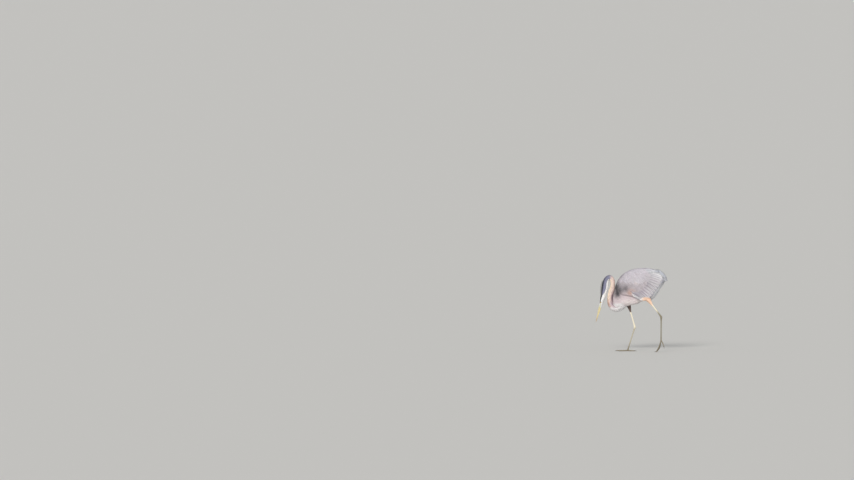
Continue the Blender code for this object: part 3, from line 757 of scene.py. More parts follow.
class Coat:
    """Groups of vanes for one mesh piece, and the random numbers that vary them."""

    def __init__(self, seed):
        self.rng = np.random.default_rng(seed)
        self.groups = []

    @cached_property
    def tree(self):
        """A search tree of the finished skin, made when it is first needed."""
        skin = bpy.data.objects.get("skin")
        if skin is None:
            raise RuntimeError("make the skin first")
        corners = column(skin.data.loops, "vertex_index", 1, np.int32).reshape(-1, 3)
        return BVHTree.FromPolygons(column(skin.data.vertices, "co").tolist(), corners.tolist())

    def add(self, points, colours, steps, root_uv):
        """A group of vanes of one pattern: OFBake puts each in a small patch at its root's place."""
        count, size = points.shape[:2]
        points = points.reshape(-1, 3)
        faces = (tube_faces(len(steps) - 2, 4) + np.arange(count)[:, None, None] * size).reshape(-1, 3)
        across, along = vane_places(steps)
        places = np.stack([across, along], -1)
        rim = (across != 0.5) | (along == 0) | (along == 1)
        bake = np.clip(root_uv[:, None] + (places - 0.5) * PATCH, 0, 1).reshape(-1, 2)
        group = (outward(points - points.mean(0), faces), bake, np.tile(places, (count, 1)))
        self.groups.append((points, *group, colours.reshape(-1, 3), np.tile(rim, count)))

    def mirrored(self):
        """The same vanes reflected in the bird's middle plane."""
        other = Coat(0)
        other.groups = [(points * MIRROR, faces[:, ::-1], *rest) for points, faces, *rest in self.groups]
        return other

    def make(self, name, material):
        """The gathered vanes as one object."""
        points, faces, *rest = zip(*self.groups)
        bake, barbs, colours, rim = map(np.concatenate, rest)
        shape = joined(zip(points, faces))
        return new_object(name, *shape, material, {"OFBake": bake, "Barbs": barbs}, colours, rim)

    def varied(self, u, stations, sizes, low=0.8, high=1.2):
        """Lengths from a table in millimetres, each times a random factor from low to high."""
        return np.interp(u, stations, sizes) * MM * self.rng.uniform(low, high, len(u))

    def lay(self, face, u, v, heading, size, shape, colour, droop=0.0):
        """Vanes whose middle lines run on a surface. From its root (u, v) each goes the way of
        heading, laid into the surface, for its length; its height over the skin goes from -sink
        to loft as 1 - (1 - t) to the power 1.6, and droop times t squared pulls it down."""
        length, half, sink, loft, thick = (np.broadcast_to(np.asarray(k, float), u.shape) for k in size)
        point, along, around, normal = touch(*face, u, v)
        keep, move = seat_on_skin(self.tree, point)
        way = unit(heading(along))
        aside = np.cross(normal, way)
        way = way + aside * self.rng.normal(0, shape.get("stray", 0.09), (len(u), 1))
        curl = self.rng.normal(0, shape.get("curl", 0.07), len(u))
        a, b, d = dot(along, along), dot(along, around), dot(around, around)
        p, q = dot(way, along), dot(way, around)
        det = np.maximum(a * d - b * b, 1e-18)
        du, dv = (p * d - q * b) / det, (a * q - b * p) / det
        speed = np.linalg.norm(along * du[:, None] + around * dv[:, None], axis=1)
        pick = np.flatnonzero(keep)
        t = shape["steps"]
        reach = length[pick, None] * t
        uu = u[pick, None] + (du / speed)[pick, None] * reach
        vv = v[pick, None] + (dv / speed)[pick, None] * reach
        centre, _, _, up = touch(*face, uu, vv)
        height = -sink[pick, None] + (sink + loft)[pick, None] * (1 - (1 - t) ** 1.6)
        centre = centre + up * height[..., None] + move[pick][:, None]
        centre = centre + aside[pick, None] * (curl[pick, None] * reach * t)[..., None]
        centre[..., 2] -= droop * t**2
        # Where the surface pinches in a bend, a vane would run away
        fair = np.linalg.norm(np.diff(centre, axis=1), axis=-1).sum(1) < 1.4 * length[pick]
        pick, centre, up = pick[fair], centre[fair], up[fair]
        low, high = face[1]
        root = np.stack([(u[pick] - low) / (high - low), (v[pick] - v.min()) / max(np.ptp(v), 1e-6)], -1)
        roll = self.roll(shape, 0.08, len(pick))
        self.draw(centre, up, half[pick], thick[pick, None], shape, colour[pick], within(root), roll)

    def roll(self, shape, spread, count):
        """Turns of vanes about their middle lines, spread evenly about the tilt of their form."""
        return self.rng.normal(shape.get("tilt", 0.0), spread, count)

    def draw(self, centre, up, half, thick, shape, colour, root_uv, roll=0.0):
        """Vanes along the given middle lines."""
        t = shape["steps"]
        widths = half[:, None] * outline(t, shape["swell"], shape["point"])
        points = vane_points(centre, up, widths, shape["camber"], thick * np.ones(widths.shape), roll)
        shaft = shape.get("shaft", 0.0)
        shades = vane_colours(colour, t, self.rng, shape["fringe"], shape["shade"], shaft)
        self.add(points, shades, t, root_uv)

    def loosen(self, face, u, v, heading, colour, long, loft):
        """Fine loose barbs over a coat, that break the edges of its feathers."""
        rng, count = self.rng, len(u)
        length, half = rng.uniform(0.6, 1.3, count) * long, rng.uniform(0.0004, 0.0009, count)
        size = (length, half, 0.0002, loft * rng.uniform(0.8, 1.15, count), 0.0002)
        shape = look(0.4, 0.9, 0.1, 0.0, 0.0, steps=STRAND_STEPS, stray=0.22, curl=0.12)
        self.lay(face, u, v, heading, size, shape, colour * rng.uniform(0.93, 1.08, (count, 1)))


# ---- the skin


def sweep(centre, side, up, wide, deep, around, power=2.0):
    """Rings across a path in table centimetres: side and up times the half sizes and the shares
    of a superellipse, with all that nears the floor pressed flat onto it."""
    across, height = rounded(turns(around), power)
    rings = (
        centre[:, None]
        + side[..., None, :] * (wide[:, None] * across)[..., None]
        + up[..., None, :] * (deep[:, None] * height)[..., None]
    )
    rings[..., 2] = np.where(rings[..., 2] < SOLE, 0.0, rings[..., 2])
    return in_metres(rings)


def toe_half(share):
    """Half thickness along a toe, falling evenly, with a bell-shaped swelling at each joint."""
    root, tip = TOE_HALF_THICK
    return root + (tip - root) * share + sum(0.07 * bell(share, at, 0.05) for at in (0.36, 0.66, 0.93))


def toe(side_name, name, count=46):
    """One toe in table centimetres: its middle line, side and up directions, share and half size.
    A flat toe runs level from the hub; a raised one is a smooth curve through its dipping lengths."""
    joint = np.array(LEGS[side_name]["joint"])
    share = np.linspace(0, 1, count)
    turn = math.radians(TOES[name][0] if side_name == "right" else RAISED_TURN[name])
    flat = np.array([-math.cos(turn), math.sin(turn) * (1 if side_name == "right" else -1), 0.0])
    out = 0.55 if name == "hind" else 0.1
    hint = UP
    if side_name == "right":
        centre = joint * [1, 1, 0] + [0, 0, 0.62] + flat * out + flat * (share * TOES[name][1])[:, None]
        centre[:, 2] = 0.62 - 0.26 * np.minimum(share / 0.5, 1.0)
    else:
        corners = [joint + flat * out]
        for dip, piece in RAISED[name]:
            dip = math.radians(dip)
            corners.append(corners[-1] + piece * (flat * math.cos(dip) - UP * math.sin(dip)))
        centre = spline(corners, share * (len(corners) - 1))
        if name == "middle":
            centre[:, 2] = np.maximum(centre[:, 2], 0.32)
        hint = UP + flat * 0.3
    ahead = unit(np.gradient(centre, axis=0))
    side = unit(np.cross(ahead, hint))
    return centre, side, np.cross(side, ahead), share, toe_half(share), ahead


def leg_sweeps(side_name):
    """The closed tubes of one leg: thigh and shank, tarsus, hub and toes."""
    knee, ankle, joint = leg_points(side_name)
    feathered = LEGS[side_name]["feathered"]
    shapes = []

    def limb(centre, ways, half, deep, around=24):
        _, side, front = ways
        shapes.append(tube(sweep(centre, side[None], front[None], half, deep, around)))

    upper, lower = leg_frame(knee, ankle), leg_frame(ankle, joint)
    share = np.linspace(0, 1, 90)
    shank = table(SHANK, (share - feathered) / (1 - feathered))
    half = np.where(share < feathered, thigh_half(share / feathered), shank)
    flat = np.where(share < feathered, THIGH_WIDE + 0.14 * smooth(share / feathered, 0.6, 1.0), 1.0)
    limb(upper_leg(side_name, share), upper, half * flat, half, 28)
    # A round knuckle fills the bend of the ankle
    angle = np.linspace(0, math.pi, 16)
    ball = ankle - unit(ankle - knee) * 0.86 * np.cos(angle)[:, None]
    limb(ball, upper, 0.88 * np.sin(angle), 0.9 * np.sin(angle))
    share = np.linspace(0, 1, 70)
    half = table(SHIN, share)
    limb(between(ankle, joint, share), lower, half, half * 1.06)
    share = np.linspace(0, 1.3, 16)
    half = table(HUB, share)
    limb(joint + lower[0] * (share - 0.55)[:, None], lower, half, half * 1.02)
    for name in TOES:
        centre, side, up, _, half, _ = toe(side_name, name)
        shapes.append(tube(sweep(centre, side, up, half * 1.05 - 0.02, half - 0.02, 20, 2.3)))
    return shapes


def wing_section(u, a):
    """Left wing's closed skin round the section by the angle a, which is 0 at the upper edge and
    a quarter turn on the outer face: outer face as wing_surface, inner face by the inner bulge."""
    at = np.clip(u + 0 * a, 0, len(WING) - 1)
    x, low_y, low_z, top_y, top_z, outer, inner = np.moveaxis(spline(WING, at), -1, 0)
    chord = np.hypot(top_y - low_y, top_z - low_z)
    c = 0.5 + (0.5 - 0.35 / chord) * np.cos(a)
    y, z = -(low_y + (top_y - low_y) * c), low_z + (top_z - low_z) * c
    swell = np.abs(np.sin(a)) ** 0.9
    face = outer * swell - WING_COAT * np.minimum(1, 2.5 * np.abs(np.sin(a)))
    stand = np.where(np.sin(a) > 0, face, 0.5 * swell * (np.maximum(inner, 0) + inner))
    stand = stand + 0.12 * np.sin(a) - 0.1 * swell
    return metres(x, y - (top_z - low_z) / chord * stand, z + (low_y - top_y) / chord * stand)


WING_FACE = (wing_section, (0, len(WING) - 1), 1)
WING_X = np.array([row[0] for row in WING])


def skin_shapes():
    """All the closed tubes that the one skin is made of."""
    u = np.linspace(0, len(TRUNK) - 1, 70)[:, None]
    v = turns(64)[None]
    shapes = [tube(over(trunk_surface, u, v))]
    shapes.append(tube(over(neck_surface, np.linspace(0, NECK_END, 260)[:, None], v)))
    u = np.linspace(0, len(WING) - 1, 70)[:, None]
    points, faces = tube(wing_section(u, turns(48)[None]))
    shapes += [(points, faces), (points * MIRROR, faces[:, ::-1])]
    x, z, width, thick = np.moveaxis(spline(TAIL, np.linspace(0, 4.6, 24)), -1, 0)
    side = ACROSS[None]
    line = np.stack([x, 0 * x, z], -1)
    up = np.cross(unit(np.gradient(line, axis=0)), side)
    shapes.append(tube(sweep(line, side, up, width * 0.62, thick * 0.55, 28, 2.3)))
    return shapes + leg_sweeps("left") + leg_sweeps("right")


def skin_samples():
    """Places on the bird with the marking there, for the skin to take its colours from."""
    foot = palette().foot
    places, colours = [], []

    def keep(p, k):
        places.append(p.reshape(-1, 3))
        colours.append(np.broadcast_to(k, p.shape).reshape(-1, 3))

    v = np.linspace(0, TURN, 48)[None]
    p = over(trunk_surface, np.linspace(0, len(TRUNK) - 1, 70)[:, None], v)
    keep(p, body_markings(p))
    u = np.linspace(0, NECK_END, 240)[:, None]
    keep(over(neck_surface, u, v), over(neck_markings, u, v))
    p = over(wing_surface, np.linspace(0, len(WING) - 1, 70)[:, None], np.linspace(0, 1, 40)[None])
    keep(p, body_markings(p))
    keep(p * MIRROR, body_markings(p))
    for side_name in LEGS:
        u = np.linspace(0, 1, 30)[:, None]
        keep(over(thigh_surface_of(side_name), u, v), leg_markings(u + 0 * v, side_name))
        knee, ankle, joint = leg_points(side_name)
        share = np.linspace(LEGS[side_name]["feathered"] + 0.03, 1, 40)
        keep(in_metres(between(knee, ankle, share)), shin_colour(side_name, share - 1))
        share = np.linspace(0, 1, 60)
        keep(in_metres(between(ankle, joint, share)), shin_colour(side_name, share))
        for name in TOES:
            keep(in_metres(toe(side_name, name)[0]), foot)
    return np.vstack(places), np.vstack(colours)


def point_tree(points):
    """A search tree of points."""
    tree = KDTree(len(points))
    for i, point in enumerate(points.tolist()):
        tree.insert(point, i)
    tree.balance()
    return tree


def make_skin():
    """One closed skin: the tubes are rebuilt as a single surface of even voxels and smoothed, and
    each point takes the marking of the nearest sample."""
    sizes = bpy.context.scene.heron_sizes
    points, faces = joined(skin_shapes())
    raw = new_object("raw_skin", points, faces, skin_material())
    whole = raw.modifiers.new("one_surface", "REMESH")
    whole.mode = "VOXEL"
    whole.voxel_size = sizes.skin_voxel
    whole.use_smooth_shade = True
    even = raw.modifiers.new("even", "SMOOTH")
    even.factor = 0.5
    even.iterations = 3
    fewer = raw.modifiers.new("fewer", "DECIMATE")
    fewer.ratio = sizes.skin_share
    graph = bpy.context.evaluated_depsgraph_get()
    mesh = bpy.data.meshes.new_from_object(raw.evaluated_get(graph))
    bpy.data.objects.remove(raw, do_unlink=True)
    place = column(mesh.vertices, "co")
    mesh.calc_loop_triangles()
    triangles = column(mesh.loop_triangles, "vertices", 3, np.int32)
    bpy.data.meshes.remove(mesh)
    place[:, 2] = np.maximum(place[:, 2], 0.0)
    samples, colours = skin_samples()
    tree = point_tree(samples)
    closest = np.array([tree.find(p)[1] for p in place.tolist()])
    skin = new_object("skin", place, triangles, skin_material(), colours=colours[closest])
    flesh = ["trunk", "neck_lower", "neck_middle", "neck_upper", "head"]
    flesh += ["wing_left", "wing_right", "tail"]
    for side_name in LEGS:
        flesh += [f"{part}_{side_name}" for part in ("thigh", "shank", "tarsus", "foot")]
        flesh += [f"toe_{name}_{side_name}" for name in TOES]
    settle(skin, "plumage_body", *flesh)


# ---- the coat


def against_path(along):
    """The lie of neck and head feathers: back along the line, from the bill to the breast."""
    return -along


def down_path(along):
    """The lie of thigh feathers: on along the leg."""
    return along


def rearwards(fall):
    """A lie towards the tail that also falls by the given share."""

    def heading(along):
        way = np.zeros_like(along)
        way[:, 0] = 1.0
        way[:, 2] = -np.broadcast_to(fall, len(along))
        return way

    return heading


def spaced(stations, rows, roots):
    """Pitches for scatter() from a table in millimetres: between rows, and between roots."""
    return lambda u: (np.interp(u, stations, rows) * MM, np.interp(u, stations, roots) * MM)


def look(swell, point, camber, fringe, shade, **more):
    """The form and shading of one kind of vane."""
    form = {"steps": STEPS, "swell": swell, "point": point, "camber": camber}
    return {**form, "fringe": fringe, "shade": shade, **more}


def make_head_coat():
    """Short feathers of the head, smallest by the bill, leaving out eyes and lores."""
    coat = Coat(11)
    pitch = spaced([17.5, 21, 24], [3.0, 2.2, 1.6], [2.5, 1.9, 1.4])
    u, v = scatter(neck_surface, (17.6, 23.85), (0, TURN), pitch, coat.rng)
    off = neck_surface(u, v) - metres(*EYE_AT)
    clear = (np.hypot(off[:, 0], off[:, 2]) > EYE_ROOM) | (np.abs(np.cos(v)) < 0.45)
    clear &= lore_mask(u, v) < 0.5
    u, v = u[clear], v[clear]
    length = coat.varied(u, [17.5, 20, 22, 24], [10.5, 7.0, 5.0, 3.6], 0.85, 1.15)
    depth = np.maximum(table(NECK_COAT, u) * MM * 0.55, 0.0009)
    size = (length, length * 0.17, 0.0004, depth, 0.0002)
    coat.lay(NECK_FACE, u, v, against_path, size, look(0.45, 0.6, 0.18, 0.0, 0.12), neck_markings(u, v))
    settle(coat.make("head_feathers", vane_material()), "plumage_head", "head")


def make_face():
    """Bare skin round the base of the bill: the head's own rings, stood out by half a millimetre
    on the lores, sunk under the feathers elsewhere and turned in onto the bill at the front, with
    small wrinkles that follow the gape."""
    u = np.concatenate([np.linspace(21.35, 23.97, 96), [24.0, 24.0]])[:, None]
    v = turns(180)[None]
    point, _, _, normal = touch(*NECK_FACE, u + 0 * v, v + 0 * u)
    s = np.sin(v)
    height = -0.0007 + 0.0012 * lore_mask(u, v) * smooth(24.0 - u, 0.0, 0.2)
    wrinkles = np.sin(38 * s + 9 * u) * smooth(u, 21.7, 22.4) * smooth(0.75 - np.abs(s), 0, 0.3)
    height = height + 0.00012 * wrinkles
    height = height - 0.0003 * bell(s, gape_line(u), 0.06) * smooth(u, 22.0, 22.5)
    height[-1] = -0.0022
    points, faces = tube(point + normal * height[..., None])
    colours = tube_colours(over(neck_markings, u, v))
    piece = new_object("face_skin", points, faces, face_material(), colours=colours)
    settle(piece, "plumage_head", "head")


def make_neck_coat():
    """Fine feathers of the neck in two pieces, and the long plumes that trail under its low fold."""
    at = [0, 5, 10, 18]
    for name, span, node_names, seed in (
        ("neck_feathers_hanging", (9.6, 18.0), ("neck_upper",), 21),
        ("neck_feathers_rising", (0.4, 9.9), ("neck_lower", "neck_middle"), 22),
    ):
        coat = Coat(seed)
        pitch = spaced(at, [5.4, 4.2, 3.5, 2.9], [4.2, 3.2, 2.7, 2.3])
        u, v = scatter(neck_surface, span, (0, TURN), pitch, coat.rng)
        length = coat.varied(u, at, [24, 18, 14.5, 11.5], 0.8, 1.25)
        depth = table(NECK_COAT, u) * MM
        size = (length, length * np.interp(u, [0, 18], [0.13, 0.11]), 0.0006, depth * 0.7, 0.00025)
        colour = neck_markings(u, v)
        shape = look(0.45, 0.8, 0.14, 0.05, 0.1)
        coat.lay(NECK_FACE, u, v, against_path, size, shape, colour, droop=0.0004)
        some = coat.rng.uniform(size=len(u)) < 0.5
        coat.loosen(NECK_FACE, u[some], v[some], against_path, colour[some], 0.011, depth[some] * 0.78)
        if "neck_lower" in node_names:
            trail_plumes(coat)
        settle(coat.make(name, vane_material()), "plumage_neck", *node_names)


def trail_plumes(coat):
    """Long narrow plumes from the foreneck that trail along the low fold, white with dark streaks."""
    c = palette()
    rng = coat.rng
    count = 330
    u = rng.uniform(0.9, 3.7, count)
    v = np.arcsin(rng.uniform(0.15, 1.0, count))
    v = np.where(rng.uniform(size=count) < 0.5, v, math.pi - v)
    length = rng.uniform(32, 66, count) * MM
    dark = rng.uniform(size=count) < 0.06
    pale = mix(c.white, c.chest, rng.uniform(0, 0.45, count))
    colour = np.where(dark[:, None], mix(c.streak, pale, 0.25), pale)
    size = (length, np.where(dark, 0.0013, 0.0019), 0.0006, 0.0056, 0.0004)
    coat.lay(NECK_FACE, u, v, against_path, size, look(0.4, 0.9, 0.2, 0.1, 0.15), colour, droop=0.003)


def make_body_coat():
    """Contour feathers of breast, belly, flanks and back, smaller in front."""
    coat = Coat(31)
    at = [0, 4, 12]
    pitch = spaced(at, [4.8, 6.9, 8.0], [4.2, 5.8, 6.6])
    u, v = scatter(trunk_surface, (0.05, 11.9), (0, TURN), pitch, coat.rng)
    length = coat.varied(u, at, [17, 26, 33], 0.8, 1.25)
    lie = rearwards(0.5 * smooth(-np.sin(v), -0.6, 0.6))
    size = (length, length * 0.19 * coat.rng.uniform(0.85, 1.15, len(u)), 0.0007, 0.0038, 0.0003)
    colour = body_markings(trunk_surface(u, v))
    coat.lay(TRUNK_FACE, u, v, lie, size, look(0.48, 0.62, 0.13, 0.12, 0.16), colour, droop=0.0008)
    coat.loosen(TRUNK_FACE, u, v, lie, colour, 0.016, 0.0042)
    back_plumes(coat)
    belly_streaks(coat)
    settle(coat.make("body_feathers", vane_material()), "plumage_body", "trunk")


def back_plumes(coat):
    """Long soft plumes of the back that lie over the upper edges of the folded wings."""
    rng = coat.rng
    count = 300
    u = rng.uniform(2.6, 9.5, count)
    lean = rng.uniform(0.3, 1.0, count)
    v = 0.5 * math.pi + np.where(np.arange(count) % 2, -lean, lean)
    length = rng.uniform(42, 78, count) * MM
    size = (length, length * 0.07, 0.0006, 0.0066, 0.0004)
    colour = body_markings(trunk_surface(u, v)) * rng.uniform(0.95, 1.05, (count, 1))
    shape = look(0.36, 0.75, 0.14, 0.22, 0.12, shaft=0.08)
    coat.lay(TRUNK_FACE, u, v, rearwards(0.12), size, shape, colour)


def belly_streaks(coat):
    """Loose longer feathers of breast and belly, some of them white, that break the low outline."""
    rng = coat.rng
    count = 260
    u = rng.uniform(1.0, 8.6, count)
    v = np.arcsin(rng.uniform(-1.0, -0.45, count))
    v = np.where(rng.uniform(size=count) < 0.5, v, math.pi - v)
    length = rng.uniform(28, 52, count) * MM
    white = rng.uniform(0, 0.8, count) ** 1.5
    colour = mix(body_markings(trunk_surface(u, v)), palette().white, white)
    size = (length, 0.0027, 0.0006, 0.0058, 0.0004)
    shape = look(0.42, 0.85, 0.2, 0.1, 0.15)
    coat.lay(TRUNK_FACE, u, v, rearwards(0.45), size, shape, colour, droop=0.003)


def wing_station(x):
    """The wing's station at a place along the bird, in table centimetres."""
    return np.interp(x, WING_X, np.arange(len(WING)))


def vent_surface(u, v):
    """Line of the rear belly between the folded wings: at share u from the belly to the tail it
    spans their lower edges, v from -1 to 1 across, and sags a little between them until it closes
    up under the tail."""
    x = 2.0 + 26.0 * np.asarray(u)
    rows = spline(WING, wing_station(x))
    sag = smooth(x, 9.0, 15.5) - 1.5 * smooth(x, 23.0, 28.0)
    return metres(x, v * (rows[..., 1] + 0.1), rows[..., 2] + 0.3 - sag * (1 - v**2))


def make_vent_coat():
    """Loose pale feathers of flank, rear belly and vent that close the gap between the wings."""
    c = palette()
    coat = Coat(33)
    pitch = lambda u: (0.0045 + 0.003 * smooth(u, 0.15, 0.4), 0.0045 + 0.0017 * smooth(u, 0.15, 0.4))
    u, v = scatter(vent_surface, (0.0, 0.99), (-1.0, 1.0), pitch, coat.rng)
    # Painted light in part: the vent's own pale feathers are whitened further to lift the shade that
    # falls between the wings
    pale = mix(c.tail_grey, c.white, coat.rng.uniform(0.1, 1.0, len(u)))
    colour = mix(body_markings(vent_surface(u, v)), pale, smooth(u, 0.15, 0.45))
    length = coat.varied(u, [0, 0.2, 0.5, 1.0], [18, 24, 42, 36])
    size = (length, length * 0.11, 0.0006, 0.004, 0.0003)
    coat.lay((vent_surface, (0, 1), 1), u, v, down_path, size, look(0.45, 0.7, 0.13, 0.15, 0.15), colour)
    settle(coat.make("vent_feathers", vane_material()), "plumage_body")


def wing_chart(x, z):
    """Station and chord share on the wing of a place seen from the side."""
    u = wing_station(x) + np.maximum(x - WING_X[-1], 0) / 1.8
    rows = spline(WING, u)
    return u, (z - rows[..., 2]) / (rows[..., 4] - rows[..., 2])


def wing_touch(u, c):
    """touch() on the wing, with a wide step across so that the turned-in edges stay calm."""
    step = 0.04
    inside = np.clip(u, 0, len(WING) - 1)
    ahead, behind = np.minimum(inside + 0.02, len(WING) - 1), np.maximum(inside - 0.02, 0)
    along = (wing_surface(ahead, c) - wing_surface(behind, c)) / (ahead - behind)[..., None]
    around = (wing_surface(inside, c + step) - wing_surface(inside, c - step)) / (2 * step)
    return wing_surface(inside, c) + along * (u - inside)[..., None], -unit(np.cross(around, along))


def lay_flight(coat, root, tip, half, height, sag, shape, colour):
    """Long feathers over the wing's face: each middle line goes straight in the side view from root
    to tip and sags by sag times the sine of half a turn, rising from a millimetre under the face
    to its height over the first half."""
    steps = np.linspace(0, 1, 16)
    x, z = (root[:, [k]] + (tip[:, [k]] - root[:, [k]]) * steps for k in range(2))
    u, c = wing_chart(x, z + sag * np.sin(math.pi * steps))
    point, normal = wing_touch(u, np.clip(c, -0.06, 1.03))
    stand = (1 + np.reshape(height, (-1, 1))) * smooth(steps, 0.1, 0.5) - 1
    root_uv = np.stack([u[:, 0] / (len(WING) - 1), np.clip(c[:, 0], 0, 1)], -1)
    centre, half = point + normal * (stand * MM)[..., None], np.full(len(root), half)
    shape = {**shape, "steps": steps}
    roll = coat.roll(shape, 0.02, len(root))
    coat.draw(centre, normal, half, 0.0006, shape, colour, within(np.clip(root_uv, 0, 1)), roll)


def rooted(tip, reach, angle):
    """Roots that lie a reach ahead of their tips and above them by an angle in degrees."""
    angle = np.radians(angle)
    return tip - reach * np.stack([np.cos(angle), -np.sin(angle)], -1)


def flight_feathers():
    """Primaries, secondaries and tertials of the left wing, from the lowest layer to the top one."""
    c = palette()
    coat = Coat(41)
    tip = np.array([(27.2, 56.8), (28.2, 58.0), (29.1, 59.1), (29.9, 60.2), (30.3, 61.2)])
    root = rooted(tip, 14.5, np.linspace(30, 24, 5))
    grey = mix(c.slate, c.tail_grey, np.full(5, 0.45))
    shape = look(0.25, 0.45, 0.1, 0.2, 0.1, shaft=0.25, tilt=-0.05)
    lay_flight(coat, root, tip, 0.010, np.linspace(0.9, 1.4, 5), 0.3, shape, grey)
    count = 14
    for layer, first in ((0, 6.3), (1, 7.1)):
        x = np.linspace(first, first + 19.6, count)
        tip = np.stack([x, spline(WING, wing_station(x))[:, 2] - 0.1 + 0.45 * layer], -1)
        reach = np.linspace(12.0, 14.5, count)[:, None] - 0.8 * layer
        shape = look(0.25, 0.36, 0.1, 0.62 if layer else 0.3, 0.12, shaft=0.2, tilt=-0.07)
        share = np.linspace(0.3, 0.85, count) if layer else np.full(count, 0.2)
        height = np.interp(x, [8, 14], [1.6, 3.2] if layer else [0.6, 1.6])
        root = rooted(tip, reach, np.linspace(42, 30, count))
        lay_flight(coat, root, tip, 0.0118, height, 0.5, shape, mix(c.slate, c.body_grey, share))
    tip_x, root_x = [25.4, 26.6, 27.6, 28.4, 28.3, 27.2, 25.6], [11.5, 12.2, 12.8, 12.6, 12.0, 11.0, 9.6]
    tip = np.stack([tip_x, [56.2, 58.0, 59.6, 61.2, 62.8, 64.6, 66.2]], -1)
    root = np.stack([root_x, [60.5, 62.0, 63.5, 65.0, 66.4, 67.6, 68.6]], -1)
    grey = mix(c.body_grey, c.tail_grey, np.linspace(0.2, 0.7, 7))
    shape = look(0.25, 0.4, 0.1, 0.4, 0.12, shaft=0.16, tilt=-0.07)
    lay_flight(coat, root, tip, 0.0145, np.linspace(5.2, 6.4, 7), 0.4, shape, grey)
    return coat


def covert_feathers():
    """Coverts of the left wing, from small at the shoulder to large towards the rear, over the
    roots of the flight feathers, with the pale row along the wing's leading edge."""
    c = palette()
    coat = Coat(42)
    rng = coat.rng
    at = [0, 3, 7, 10]
    pitch = spaced(at, [4.6, 6.8, 9.5, 10], [4.2, 5.6, 7.6, 8])
    u, a = scatter(wing_section, (0.0, 8.8), (0.5, 3.5), pitch, rng)
    v = 0.5 + 0.5 * np.cos(a)
    x = np.interp(u, np.arange(len(WING)), WING_X)
    fore = x < 8.2 + 8.0 * v + rng.uniform(-1.3, 1.3, len(u))
    u, a, v = u[fore], a[fore], v[fore]
    colour = body_markings(wing_section(u, a))
    length = coat.varied(u, at, [15, 24, 38, 42])
    length *= 0.6 + 0.4 * smooth(v, 0.0, 0.25)
    lie = rearwards(np.tan(np.radians(np.interp(v, [0, 1], [38, 16]))))
    half = length * np.interp(u, [0, 7], [0.22, 0.19]) * rng.uniform(0.85, 1.15, len(u))
    shape = look(0.45, 0.55, 0.12, 0.16, 0.12, shaft=0.05)
    coat.lay(WING_FACE, u, a, lie, (length, half, 0.0006, 0.0034, 0.00022), shape, colour, droop=0.0004)
    coat.loosen(WING_FACE, u, a, lie, colour, 0.017, 0.0042)
    # Pale fringe where the wing's leading edge turns under
    count = 70
    x = np.sort(rng.uniform(1.6, 9.4, count))
    u, v = wing_chart(x, 48.0 - 0.5 * (x - 3.4) + rng.normal(0, 0.3, count))
    pale = mix(c.white, c.blotch, rng.uniform(0, 0.5, count))
    size = (rng.uniform(0.018, 0.032, count), 0.0015, 0.0005, 0.0044, 0.0003)
    lay_on_wing(coat, u, np.clip(v, 0.01, 1), 0.5, size, look(0.4, 0.8, 0.15, 0.1, 0.1), pale)
    return coat


def ridge_feathers(coat):
    """Small soft feathers that wrap the left wing's upper edge and close it against the back."""
    pitch = lambda u: (0.0085 + 0 * u, 0.0062 + 0 * u)
    u, v = scatter(wing_section, (0.0, 8.7), (-2.4, 1.2), pitch, coat.rng)
    colour = mix(body_markings(wing_section(u, v)), palette().back_grey, 0.6)
    length = coat.varied(u, [0, 4, 9], [22, 38, 46])
    size = (length, length * 0.15, 0.0006, 0.0045, 0.0003)
    shape = look(0.42, 0.65, 0.14, 0.18, 0.12, shaft=0.06)
    coat.lay(WING_FACE, u, v, rearwards(0.08), size, shape, colour)


def flank_feathers():
    """Thigh and flank feathers that overlap the left wing's lowest edge."""
    c = palette()
    coat = Coat(44)
    rng = coat.rng
    count = 400
    x = rng.uniform(8.6, 14.8, count)
    u, v = wing_chart(x, 43.6 + rng.uniform(0.2, 2.6, count) * smooth(x, 7.6, 11.0))
    tone = mix(c.white, c.thigh, smooth(x + rng.normal(0, 0.8, count), 9.0, 11.0))
    size = (rng.uniform(0.018, 0.034, count), 0.003, 0.0005, 0.0056, 0.0003)
    lay_on_wing(coat, u, np.clip(v, 0.015, 0.13), 0.75, size, look(0.4, 0.8, 0.15, 0.1, 0.1), tone)
    return coat


def lay_on_wing(coat, u, v, fall, size, shape, colour):
    """Vanes on the left wing's face, from shares of its chord."""
    a = np.arccos(np.clip(2 * v - 1, -1, 1))
    coat.lay(WING_FACE, u, a, rearwards(fall), size, shape, colour, droop=0.0008)


def scapular_feathers():
    """Long narrow plumes from the left shoulder that trail over the back and the upper wing."""
    c = palette()
    coat = Coat(43)
    rng = coat.rng
    count = 190
    x = rng.uniform(-7.5, 13.0, count)
    v = rng.uniform(0.7, 0.94, count)
    length = coat.varied(x, [-8, 4, 13], [50, 105, 120], 0.75, 1.15)
    half = np.interp(x, [-8, 4, 13], [5.5, 5.0, 4.0]) * MM
    colour = mix(c.back_grey, c.body_grey, rng.uniform(0, 0.6, count))
    colour = colour * (1 - 0.1 * smooth(x, 0, 8))[:, None]
    fall = np.interp(v, [0.74, 1.0], [0.42, 0.16]) + rng.normal(0, 0.04, count)
    shape = look(0.35, 0.7, 0.16, 0.25, 0.15, shaft=0.1, steps=np.linspace(0, 1, 9))
    lay_on_wing(coat, wing_station(x), v, fall, (length, half, 0.0006, 0.0058, 0.0005), shape, colour)
    ridge_feathers(coat)
    return coat


def make_wing_coats():
    """Each wing's coverts, flight feathers and scapulars; the right ones mirror the left."""
    for label, coat, material in (
        ("coverts", covert_feathers(), vane_material),
        ("flight_feathers", flight_feathers(), flight_material),
        ("scapulars", scapular_feathers(), vane_material),
    ):
        right = coat.mirrored()
        if label == "coverts":
            coat.groups += flank_feathers().groups
        for side_name, part in (("left", coat), ("right", right)):
            settle(part.make(f"{label}_{side_name}", material()), "plumage_wing", f"wing_{side_name}")


